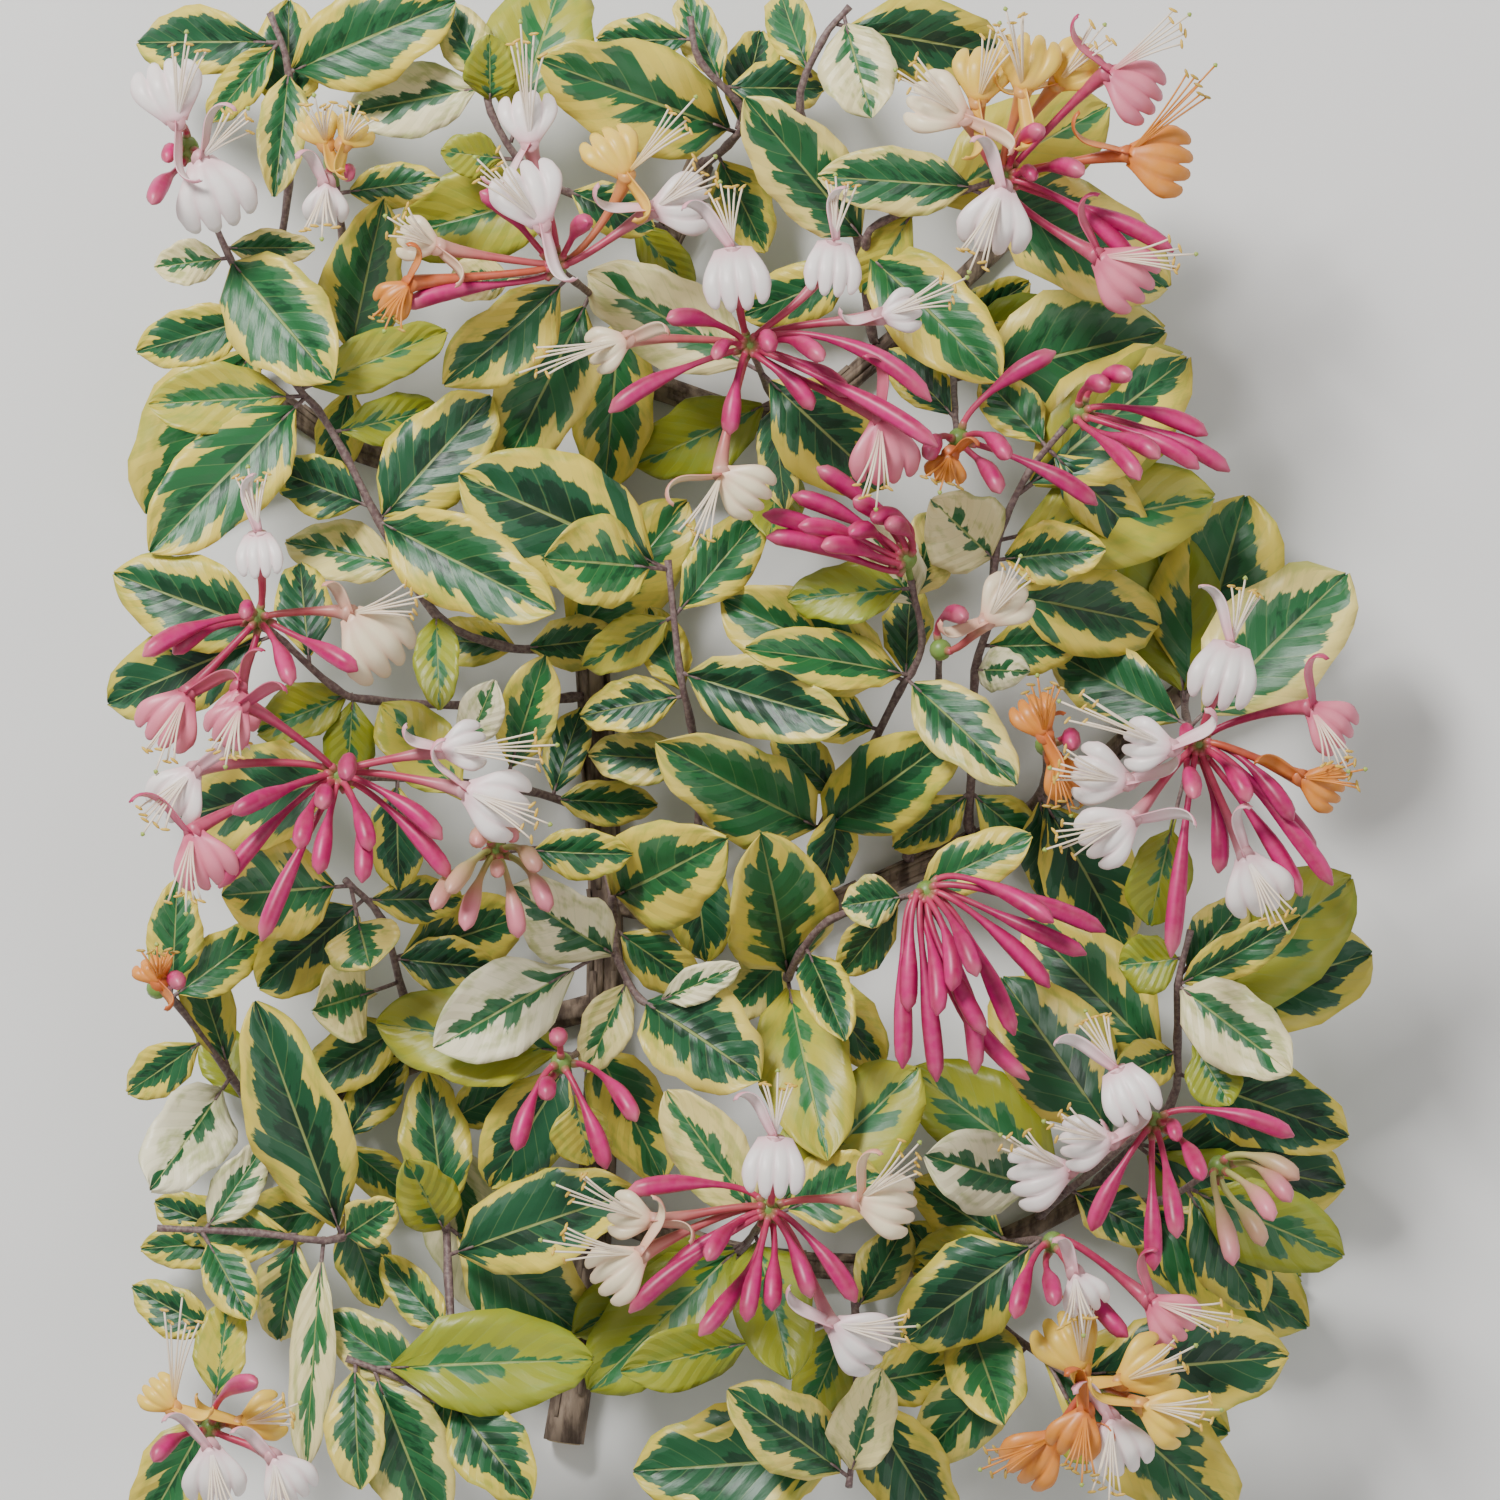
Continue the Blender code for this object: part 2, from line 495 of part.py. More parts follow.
def lip_point(flower, u, v):
    """Point and normal of the broad lip, which arches and bends its sides down."""
    throat, end = flower["throat"], flower["lip"]
    ahead = unit(end - throat)
    side = unit(np.cross(ahead, flower["facing"]))
    normal = np.cross(side, ahead)
    length = float(np.linalg.norm(end - throat))
    half = flower["lip_half"]
    lift = length * 0.10 * math.sin(math.pi * min(u, 1.0)) - abs(v) * half * 0.25 * u
    return throat + ahead * (length * u) + side * (v * half) + normal * lift, normal


def strap_point(flower, s, v):
    """Point and normal of the narrow lip, which rolls back."""
    spot = bezier(flower["strap"], s)
    onward = unit(bezier(flower["strap"], max(s - 0.1, 0.0)) - bezier(flower["strap"], min(s + 0.1, 1.0)))
    side = unit(np.cross(onward, flower["facing"]))
    return spot + side * (v * STRAP_HALF), np.cross(side, onward)


def flower_mesh(flower):
    """Coarse open flower in one closed mesh: tube, curled strap, four-lobed lip and one long style."""
    rows = [[strap_point(flower, s, -v), strap_point(flower, s, v)] for s, v in STRAP_COARSE]
    rows += [[lip_point(flower, u, v) for u, v in row] for row in LIP_COARSE]
    counts = [len(row) for row in rows]
    points = np.array([point for row in rows for point, _ in row])
    normals = np.array([normal for row in rows for _, normal in row])
    verts = list(points + normals * PETAL_THICK / 2) + list(points - normals * PETAL_THICK / 2)
    total = len(points)
    faces = list(sheet_faces(counts, holes=(2,)))
    upper = [4, 5, 7, 6]
    lower = [6 + total, 7 + total, 5 + total, 4 + total]
    faces += arm(verts, lower, [(bezier(flower["curve"], 0.82), TUBE_RADII[1]),
                                (bezier(flower["curve"], 0.0), TUBE_RADII[0])])
    style = flower["stamens"][1]
    faces += arm(verts, upper, [(bezier(style, 1.0), STAMEN_RADIUS)])
    return np.array(verts), faces


def arm(verts, ring, sections):
    """Extend a hole of four points along square sections to a capped end; returns the new faces."""
    faces = []
    corners = np.array([verts[i] for i in ring])
    previous = corners.mean(axis=0)
    turning = np.cross(corners[0] - corners[2], corners[1] - corners[3])
    sense = 1.0 if np.dot(turning, sections[0][0] - previous) > 0 else -1.0
    first = corners[0] - corners[2]
    for k, (spot, radius) in enumerate(sections):
        ahead = unit(spot - previous)
        if k + 1 < len(sections):
            ahead = unit(ahead + unit(sections[k + 1][0] - spot))
        first = unit(first - ahead * float(np.dot(first, ahead)))
        second = np.cross(ahead, first) * sense
        start = len(verts)
        verts.extend(spot + corner * radius for corner in (first, second, -first, -second))
        for i in range(4):
            j = (i + 1) % 4
            faces.extend([(ring[i], ring[j], start + j), (ring[i], start + j, start + i)])
        ring = [start, start + 1, start + 2, start + 3]
        previous = spot
    faces.extend([(ring[0], ring[1], ring[2]), (ring[0], ring[2], ring[3])])
    return faces


def swollen(verts, faces, amount):
    """The same mesh, moved outward, to ask for room round a piece."""
    index = np.array(faces)
    flat = np.cross(verts[index[:, 1]] - verts[index[:, 0]], verts[index[:, 2]] - verts[index[:, 0]])
    flat = rows_unit(flat)
    normals = np.zeros_like(verts)
    for column in range(3):
        np.add.at(normals, index[:, column], flat)
    return verts + rows_unit(normals) * amount


class Room:
    """Keeps what is placed and tells whether a new piece is clear of the other nodes."""

    def __init__(self):
        self.items = []
        self.low = np.zeros((0, 3))
        self.high = np.zeros((0, 3))

    def add(self, node, verts, faces, part):
        tree = BVHTree.FromPolygons(verts.tolist(), faces)
        self.items.append((node, tree, part))
        self.low = np.vstack([self.low, verts.min(axis=0)])
        self.high = np.vstack([self.high, verts.max(axis=0)])

    def meets(self, node, verts, faces, friends=(), core=None):
        """Count the pieces met: (in other nodes, blades or outer petals of the same node)."""
        if verts[:, 2].min() < FLOOR_CLEAR:
            return 99, 0
        grown = swollen(verts, faces, CLEAR)
        low, high = grown.min(axis=0), grown.max(axis=0)
        near = np.where(np.all(self.low <= high, axis=1) & np.all(self.high >= low, axis=1))[0]
        tree = None
        others, own = 0, 0
        for k in near:
            other_node, other_tree, part = self.items[k]
            if other_node in friends or (other_node == node and part == "stem"):
                continue
            if other_node == node and part == "petal" and core is None:
                continue
            if tree is None:
                tree = BVHTree.FromPolygons(grown.tolist(), faces)
            pairs = tree.overlap(other_tree)
            if not pairs:
                continue
            if other_node != node:
                others += 1
                break
            if part == "blade":
                own += 1
            else:
                middles = [grown[list(faces[a])].mean(axis=0) for a, _ in pairs]
                own += any(np.linalg.norm(middle - core) > HEAD_FREE for middle in middles)
        return others, own


def woody_axis():
    """Smooth axes of the barked vine, resting on z = 0 by the flat under side of each section."""
    axes = {}
    rise = math.cos(math.pi / WOODY_SIDES)
    for name, (radii, places) in WOODY.items():
        points = smooth_path([at(x, y, 0.0) for x, y in places], 1)
        total = len(points) - 1
        widths = [(radii[0] + (radii[1] - radii[0]) * k / total) * MM for k in range(len(points))]
        for point, width in zip(points, widths):
            point[2] = width * rise
        axes[name] = (points, widths)
    return axes


def seat_on_vine(axes, place, toward):
    """Start of a shoot: just off the bark, on the side that faces where it grows."""
    target = at(place[0], place[1], 0.0)
    best = None
    for points, widths in axes.values():
        for k in range(len(points) - 1):
            for t in np.linspace(0, 1, 9):
                spot = points[k] * (1 - t) + points[k + 1] * t
                gap = np.linalg.norm((spot - target)[:2])
                if best is None or gap < best[0]:
                    best = (gap, spot, unit(points[k + 1] - points[k]), widths[k] * (1 - t) + widths[k + 1] * t)
    _, spot, along, width = best
    out = toward - spot
    out = out - along * float(np.dot(out, along))
    out[2] = max(out[2], 0.7 * abs(np.linalg.norm(out[:2])))
    out = unit(out)
    return spot + out * (width + GAP), out


def plan_shoots(axes, room):
    """Stem paths of all shoots, lifted a little wherever one would meet another."""
    shoots = {}
    for name, places in SHOOTS.items():
        for lift in (0, 1.5, -1.5, 3, -3, 4.5, -4.5, 6, -6):
            points = [at(x, y, z + lift * (0 < k < len(places) - 2)) for k, (x, y, z) in enumerate(places[1:])]
            start, out = seat_on_vine(axes, places[0], points[0])
            path = [start, start + out * 0.003] + points
            radii = [SHOOT_RADII[0] + (SHOOT_RADII[1] - SHOOT_RADII[0]) * k / (len(path) - 1)
                     for k in range(len(path))]
            verts, faces = tube(path, radii, 4)
            others, _ = room.meets("shoot_" + name, verts, faces, friends=("vine",))
            if not others:
                break
        else:
            print("SHOOT MEETS ANOTHER", name)
        room.add("shoot_" + name, verts, faces, "stem")
        shoots[name] = {"path": path, "meshes": [(verts, faces)], "leaves": []}
    return shoots


def anchors(core, places):
    """Roots of a head's tubes: spread round the core in two tiers, in the order in which the tubes point."""
    angles = [math.atan2(*(at(*place, 0) - core)[1::-1]) for place in places]
    order = sorted(range(len(places)), key=lambda k: angles[k])
    even = {k: 2 * math.pi * rank / len(places) for rank, k in enumerate(order)}
    turn_x = sum(math.cos(angles[k] - even[k]) for k in order)
    turn_y = sum(math.sin(angles[k] - even[k]) for k in order)
    shift = math.atan2(turn_y, turn_x)
    found = []
    for k in range(len(places)):
        drift = (even[k] + shift - angles[k] + math.pi) % (2 * math.pi) - math.pi
        angle = angles[k] + ROOT_SPREAD * drift
        rise = 0.25 if order.index(k) % 2 else 0.95
        out = np.array([math.cos(rise) * math.cos(angle), math.cos(rise) * math.sin(angle), math.sin(rise)])
        found.append((core + out * (CORE_RADIUS * 0.6), out))
    return found


def plan_bud(core, place, root, rng, lift, side):
    reach = float(np.linalg.norm((at(*place, 0) - core)[:2]))
    length = max(reach * 1.04, rng.uniform(*BUD_LENGTHS) * (0.75 if reach < 0.01 else 1.0))
    rise = math.sqrt(max(length ** 2 - reach ** 2, 0.0)) * 0.8 - reach * 0.08
    tip = at(*place, 0)
    tip[2] = core[2] + rise + lift
    anchor, out = root
    span = float(np.linalg.norm(tip - anchor))
    sideways = np.cross(unit(tip - anchor), np.array([0.0, 0.0, 1.0])) * (side * span)
    size = 0.8 if span < 0.018 else 1.0
    return {"kind": "bud", "curve": (anchor, anchor + out * min(span * 0.3, 0.006) + sideways, (anchor + tip * 2) / 3
                                    + sideways, tip), "size": size}


def plan_flower(core, row, root, rng, lift):
    age, throat_px, lip_px, strap_px, stamen_px = row
    throat = at(*throat_px, 0)
    reach = float(np.linalg.norm((throat - core)[:2]))
    length = max(reach * 1.05, 0.024)
    throat[2] = core[2] + math.sqrt(length ** 2 - reach ** 2) * 0.75 + lift
    anchor, out = root
    span = float(np.linalg.norm(throat - anchor))
    lip = at(*lip_px, 0)
    lip_length = float(np.linalg.norm((lip - throat)[:2]))
    lip[2] = throat[2] - lip_length * 0.15
    ahead = unit(lip - throat)
    facing = unit(np.array([0.0, 0.0, 1.0]) + 0.25 * unit(throat - core))
    strap_end = at(*strap_px, 0) if strap_px else throat
    if np.dot(unit((throat - strap_end) * FLAT), unit(ahead * FLAT)) < 0.2:
        strap_end = throat - ahead * lip_length * 0.8
        strap_end = strap_end + np.cross(ahead, facing) * rng.uniform(-0.4, 0.4) * lip_length
    strap_end[2] = throat[2] + 0.001
    strap_bend = (throat + strap_end) / 2
    strap_bend[2] = throat[2] + 0.004
    if stamen_px:
        stamen_end = at(*stamen_px, 0)
    else:
        stamen_end = throat + turn(ahead, facing, rng.uniform(-0.5, 0.5)) * lip_length * 1.35
    stamen_end[2] = throat[2] + rng.uniform(0.006, 0.010)
    stamens = []
    flat = np.cross(unit(stamen_end - throat), facing)
    for spread in (-1.0, 0.0, 1.0):
        stamens.append((throat, throat + facing * 0.007, stamen_end + flat * (spread * 0.0035)))
    below = throat - facing * 0.007 - ahead * 0.002
    return {"kind": "flower", "age": age, "curve": (anchor, anchor + out * min(span * 0.3, 0.006), below, throat),
            "throat": throat, "lip": lip, "facing": facing, "lip_half": max(lip_length * 0.56, 0.0055),
            "strap": (throat, strap_bend, strap_end), "stamens": stamens}


def core_mesh(core, foot, ahead):
    """Short stalk that widens to the low round core from which the tubes spring."""
    sections = [(foot, PEDUNCLE_RADIUS, ahead)]
    rise = unit(core - foot)
    sections.append((foot * 0.5 + (core - rise * CORE_RADIUS) * 0.5 + ahead * 0.0005, PEDUNCLE_RADIUS, unit(rise + ahead)))
    for along, radius in ((-0.8, 0.5), (-0.1, 0.95), (0.7, 0.75)):
        sections.append((core + rise * (along * CORE_RADIUS), radius * CORE_RADIUS, rise))
    rings = []
    side = np.array([0.0, 1.0, 0.1])
    for spot, radius, axis in sections:
        side = unit(side - axis * float(np.dot(side, axis)))
        over = np.cross(axis, side)
        rings.append([spot + (side * math.cos(a) + over * math.sin(a)) * radius
                      for a in (2 * math.pi * (i + 0.5) / 5 for i in range(5))])
    return loft(rings)


def plan_heads(shoots, room):
    heads = {}
    for name, (place, shoot, flowers, buds) in HEADS.items():
        rng = random.Random(f"{SEED} head {name}")
        node = "bloom_" + name
        core = at(*place)
        path = shoots[shoot]["path"]
        ahead = unit(path[-1] - path[-2])
        foot = path[-1] + ahead * GAP
        meshes = [core_mesh(core, foot, ahead)]
        verts, faces = meshes[0]
        if room.meets(node, verts, faces, ("shoot_" + shoot,))[0]:
            print("CORE OR STALK MEETS", name)
        room.add(node, verts, faces, "stem")
        items = []
        roots = anchors(core, [row[1] for row in flowers] + list(buds))
        for row, root in zip(flowers, roots):
            best = None
            for lift in (0, 2, -2, 4, -4, 7, -7, 10, 13, 16, -10):
                flower = plan_flower(core, row, root, random.Random(f"{name}{row[1]}"), lift * MM)
                verts, faces = flower_mesh(flower)
                others, own = room.meets(node, verts, faces, core=core)
                if not others and (best is None or own < best[0]):
                    best = (own, flower, verts, faces)
                    if not own:
                        break
            if best is None:
                print("FLOWER LEFT OUT", name, row)
                continue
            _, flower, verts, faces = best
            room.add(node, verts, faces, "petal")
            meshes.append((verts, faces))
            items.append(flower)
        for place_px, root in zip(buds, roots[len(flowers):]):
            best = None
            for lift, side in ((0, 0), (2, 0.1), (-2, -0.1), (4, 0), (-4, 0), (7, 0.15), (10, -0.15), (14, 0),
                               (-8, 0.2), (18, 0), (-12, 0)):
                bud = plan_bud(core, place_px, root, random.Random(f"{name}{place_px}"), lift * MM, side)
                verts, faces = bud_mesh(bud)
                others, own = room.meets(node, verts, faces, core=core)
                if not others and (best is None or own < best[0]):
                    best = (own, bud, verts, faces)
                    if not own:
                        break
            if best is None:
                print("BUD LEFT OUT", name, place_px)
                continue
            _, bud, verts, faces = best
            room.add(node, verts, faces, "petal")
            meshes.append((verts, faces))
            items.append(bud)
        heads[name] = {"core": core, "foot": foot, "items": items, "meshes": meshes}
    return heads


def nearest_on_path(path, place):
    """Point of the path nearest to a place seen from above."""
    best = None
    for k in range(1, len(path) - 1):
        last = 1.0 if k < len(path) - 2 else 1.0 - ROOT_SINK / float(np.linalg.norm(path[k + 1] - path[k]))
        for t in np.linspace(0, last, 6):
            spot = path[k] * (1 - t) + path[k + 1] * t
            gap = float(np.linalg.norm((spot - place)[:2]))
            if best is None or gap < best[0]:
                best = (gap, spot)
    return best


def leaf_tries():
    """Small changes to a leaf's pose, gentlest first: (tip lift in mm, roll, arch, scale)."""
    tries = []
    for lift in (0, 3, -3, 6, -6, 9, -9, 13, -13, 17, -17, 22, -22):
        for roll in (0.0, 0.25, -0.25, 0.5, -0.5):
            for arch in (0.0, 0.1, -0.1):
                for scale in (1.0, 0.88, 0.76):
                    cost = abs(lift) / 5 + abs(roll) * 3 + abs(arch) * 8 + (1 - scale) * 12
                    tries.append((cost, lift, roll, arch, scale))
    tries.sort()
    return [row[1:] for row in tries]


TRIES = leaf_tries()


def try_leaf(room, node, base, tip, width, petiole, look, key, stations, limit, most_own=0, across=FOLDED):
    """The first pose that is clear of the other nodes, or nothing."""
    rng = random.Random(f"{SEED} leaf {key}")
    arch, roll = rng.uniform(0.06, 0.14), rng.uniform(-0.22, 0.22)
    fold, wave, phase = rng.uniform(0.08, 0.3), rng.uniform(0.1, 0.25), rng.uniform(0, 6.28)
    fallback = None
    for lift, more_roll, more_arch, scale in TRIES[:limit]:
        end = base + (tip - base) * (0.4 + 0.6 * scale)
        end[2] += lift * MM
        leaf = make_leaf(base, end, width * scale, petiole, roll + more_roll, arch + more_arch, fold, wave,
                         phase, stations, look, across)
        verts, faces = leaf_mesh(leaf)
        others, own = room.meets(node, verts, faces)
        if others:
            continue
        if not own:
            return leaf, verts, faces
        if fallback is None or own < fallback[0]:
            fallback = (own, leaf, verts, faces)
    return fallback[1:] if fallback and fallback[0] <= most_own else None


def blade_stations(petiole, count):
    """Where along a leaf its sections lie."""
    shares = {2: (0.3, 0.72), 3: (0.2, 0.52, 0.84)}[count]
    return [petiole + (1.0 - petiole) * share for share in shares]


def plan_leaves(shoots, room, cover):
    for row, (shoot, base_px, tip_px, width, height, look) in enumerate(LEAVES):
        node = "shoot_" + shoot
        place = at(*base_px, 0)
        _, start = nearest_on_path(shoots[shoot]["path"], place)
        tip = at(*tip_px, height)
        gap = float(np.linalg.norm((start - place)[:2]))
        petiole = min(gap / max(float(np.linalg.norm((tip - start)[:2])), 0.001) + 0.05, 0.5)
        stations = blade_stations(petiole, 3 if width > 52 else 2)
        found = try_leaf(room, node, start, tip, width * PIXEL, petiole, look, row, stations, 120, most_own=1)
        if found is None:
            print("LEAF LEFT OUT", row, shoot, base_px, tip_px)
            continue
        leaf, verts, faces = found
        room.add(node, verts, faces, "blade")
        cover.mark(leaf)
        shoots[shoot]["leaves"].append(leaf)
        shoots[shoot]["meshes"].append((verts, faces))


class Cover:
    """Grid seen from above, to find where the vine is still open."""

    CELL = 0.004

    def __init__(self):
        (left, right), (top, bottom) = VIEW_PX
        self.low = at(left, bottom, 0)
        span = at(right, top, 0) - self.low
        self.wide = int(span[0] / self.CELL)
        self.tall = int(span[1] / self.CELL)
        self.grid = np.zeros((self.wide, self.tall), bool)

    def cell(self, point):
        return int((point[0] - self.low[0]) / self.CELL), int((point[1] - self.low[1]) / self.CELL)

    def mark_point(self, point):
        i, j = self.cell(point)
        if 0 <= i < self.wide and 0 <= j < self.tall:
            self.grid[i, j] = True

    def mark(self, leaf):
        u, v = np.meshgrid(np.linspace(0.1, 0.98, 12), np.linspace(-0.9, 0.9, 7))
        for point in leaf_points(leaf, u.ravel(), v.ravel())[0]:
            self.mark_point(point)

    def mark_mesh(self, verts, faces):
        for a, b, c in faces:
            for w in ((1, 0, 0), (0.5, 0.5, 0), (0, 0.5, 0.5), (0.5, 0, 0.5), (1 / 3, 1 / 3, 1 / 3)):
                self.mark_point(verts[a] * w[0] + verts[b] * w[1] + verts[c] * w[2])

    def holes(self):
        """Open cells with the number of open cells round each, the most open first."""
        found = []
        for i in range(1, self.wide - 1):
            for j in range(1, self.tall - 1):
                if not self.grid[i, j]:
                    around = int((~self.grid[i - 1:i + 2, j - 1:j + 2]).sum())
                    found.append((-around, i, j))
        found.sort()
        return found

    def place(self, i, j):
        return self.low + np.array([(i + 0.5) * self.CELL, (j + 0.5) * self.CELL, 0.0])


FILL_LOOKS = ("green", "green", "dark", "yellow", "cream", "green")
INNER_LOOKS = ("green", "dark", "green", "yellow", "dark")


def shoots_near(shoots, place, nearest, farthest, lowest, rng, drift):
    """Places on the shoots from which a leaf could reach the given place, the nearest first."""
    options = []
    for name, shoot in shoots.items():
        path = shoot["path"][1:]
        for spot in [a * 0.5 + b * 0.5 for a, b in zip(path, path[1:])]:
            gap = float(np.linalg.norm((spot - place)[:2]))
            if nearest < gap < farthest and spot[2] > lowest:
                options.append((gap + rng.uniform(0, drift), name, spot))
    options.sort(key=lambda option: option[0])
    return options


def open_places(cover, least):
    """Places still open from above with at least so many open cells round them, each given once."""
    asked = set()
    bare = [at(x, y, 0) for x, y in zip(*BARE_TRUNK_PX)]
    while True:
        holes = [hole for hole in cover.holes() if hole[1:] not in asked]
        if not holes or holes[0][0] > -least:
            return
        _, i, j = holes[0]
        asked.add((i, j))
        place = cover.place(i, j)
        if not (bare[0][0] < place[0] < bare[1][0] and bare[1][1] < place[1] < bare[0][1]):
            yield place, f"{i} {j}"


def keep_leaf(room, cover, shoots, name, found):
    leaf, verts, faces = found
    room.add("shoot_" + name, verts, faces, "blade")
    cover.mark(leaf)
    shoots[name]["leaves"].append(leaf)
    shoots[name]["meshes"].append((verts, faces))


def plan_fill(shoots, room, cover):
    """Give the most open places a leaf from the nearest shoot, where one fits."""
    rng = random.Random(SEED + 5)
    made = 0
    for place, key in open_places(cover, 4):
        for gap, name, start in shoots_near(shoots, place, 0.006, 0.045, 0.012, rng, 0.006)[:6]:
            away = unit((place - start) * FLAT)
            length = min(max(gap * 1.35, 0.026), 0.050)
            tip = start + away * length
            tip[2] = max(start[2] - rng.uniform(0.0, 0.012), 0.006)
            width = length * rng.uniform(0.42, 0.55)
            look = FILL_LOOKS[made % len(FILL_LOOKS)]
            found = try_leaf(room, "shoot_" + name, start, tip, width, 0.1, look, f"fill {key} {name}",
                             blade_stations(0.1, 2), 60)
            if found:
                keep_leaf(room, cover, shoots, name, found)
                made += 1
                break
        if made >= FILL_LEAVES:
            break
    print("FILL LEAVES", made)


def plan_inner(shoots, room, cover):
    """Smaller level leaves lower down among the stems, where the vine is still open from above."""
    rng = random.Random(SEED + 8)
    made = 0
    for place, key in open_places(cover, 3):
        for gap, name, start in shoots_near(shoots, place, 0.004, 0.060, 0.008, rng, 0.010)[:4]:
            away = unit((place - start) * FLAT)
            length = min(max(gap * 1.3, 0.024), 0.055)
            tip = start + away * length
            tip[2] = min(max(start[2] - rng.uniform(0.0, 0.020), 0.006), 0.045)
            look = INNER_LOOKS[made % len(INNER_LOOKS)]
            found = try_leaf(room, "shoot_" + name, start, tip, length * rng.uniform(0.45, 0.6), 0.1, look,
                             f"inner {key} {name}", blade_stations(0.1, 2), 24, most_own=1, across=LEVEL)
            if found:
                keep_leaf(room, cover, shoots, name, found)
                made += 1
                break
        if made >= INNER_LEAVES:
            break
    print("INNER LEAVES", made)


def plan():
    """Lay out the whole vine: axes of the bark, shoots with leaves, and heads."""
    room = Room()
    axes = woody_axis()
    woody = []
    for points, widths in axes.values():
        verts, faces = tube(points, widths, WOODY_SIDES)
        woody.append((verts, faces))
        room.add("vine", verts, faces, "stem")
    shoots = plan_shoots(axes, room)
    heads = plan_heads(shoots, room)
    cover = Cover()
    for head in heads.values():
        for verts, faces in head["meshes"]:
            cover.mark_mesh(verts, faces)
    plan_leaves(shoots, room, cover)
    plan_fill(shoots, room, cover)
    plan_inner(shoots, room, cover)
    return axes, woody, shoots, heads


def clear_scene():
    for thing in list(bpy.data.objects):
        bpy.data.objects.remove(thing, do_unlink=True)


def material(name, colour, roughness):
    made = bpy.data.materials.new(name)
    made.use_nodes = True
    shader = made.node_tree.nodes["Principled BSDF"]
    shader.inputs["Base Color"].default_value = (*colour, 1.0)
    shader.inputs["Roughness"].default_value = roughness
    return made


def mesh_object(name, verts, faces, finish):
    mesh = bpy.data.meshes.new(name)
    mesh.from_pydata([tuple(v) for v in verts], [], [tuple(f) for f in faces])
    mesh.materials.append(finish)
    work = bmesh.new()
    work.from_mesh(mesh)
    bmesh.ops.recalc_face_normals(work, faces=work.faces[:])
    work.to_mesh(mesh)
    work.free()
    made = bpy.data.objects.new(name, mesh)
    bpy.context.scene.collection.objects.link(made)
    return made


def bodies(thing):
    """Number of separate bodies in a mesh, where faces hold together by their edges."""
    work = bmesh.new()
    work.from_mesh(thing.data)
    left = set(work.faces)
    count = 0
    while left:
        count += 1
        reach = [left.pop()]
        while reach:
            for edge in reach.pop().edges:
                for other in edge.link_faces:
                    if len(edge.link_faces) == 2 and other in left:
                        left.remove(other)
                        reach.append(other)
    work.free()
    return count


def fused(name, meshes, finish):
    """One closed solid, by the exact solver or, where that leaves a loose sliver, by the other."""
    made = fuse(name, meshes, finish, "EXACT")
    if bodies(made) > 1:
        bpy.data.objects.remove(made, do_unlink=True)
        made = fuse(name, meshes, finish, "MANIFOLD")
        made.name = name
    return made


def fuse(name, meshes, finish, solver):
    """Join closed pieces that run into one another by one union on a collection."""
    first = mesh_object(name, *meshes[0], finish)
    if len(meshes) == 1:
        return first
    others = bpy.data.collections.new(name + "_pieces")
    bpy.context.scene.collection.children.link(others)
    for k, (verts, faces) in enumerate(meshes[1:]):
        piece = mesh_object(f"{name}_piece_{k}", verts, faces, finish)
        bpy.context.scene.collection.objects.unlink(piece)
        others.objects.link(piece)
    join = first.modifiers.new("join", "BOOLEAN")
    join.operation = "UNION"
    join.operand_type = "COLLECTION"
    join.collection = others
    join.solver = solver
    bpy.context.view_layer.objects.active = first
    bpy.ops.object.modifier_apply(modifier=join.name)
    for piece in list(others.objects):
        bpy.data.objects.remove(piece, do_unlink=True)
    bpy.data.collections.remove(others)
    return first


def main():
    clear_scene()
    _, woody, shoots, heads = plan()
    bark = material("bark", (0.16, 0.10, 0.07), 0.85)
    leaf = material("leaf", (0.10, 0.28, 0.08), 0.5)
    petal = material("petal", (0.80, 0.12, 0.32), 0.5)
    made = [fused("vine", woody, bark)]
    for name, shoot in shoots.items():
        made.append(fused("shoot_" + name, shoot["meshes"], leaf))
    for name, head in heads.items():
        made.append(fused("bloom_" + name, head["meshes"], petal))
    total = 0
    for thing in made:
        count = sum(len(face.vertices) - 2 for face in thing.data.polygons)
        total += count
    print("TRIANGLES", total, "NODES", len(made))


main()
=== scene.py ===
"""Dressed honeysuckle vine, cut and lying on a pale surface, seen from above."""

import math
import random

import bmesh
import bpy
import numpy as np
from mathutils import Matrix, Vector
from mathutils.bvhtree import BVHTree

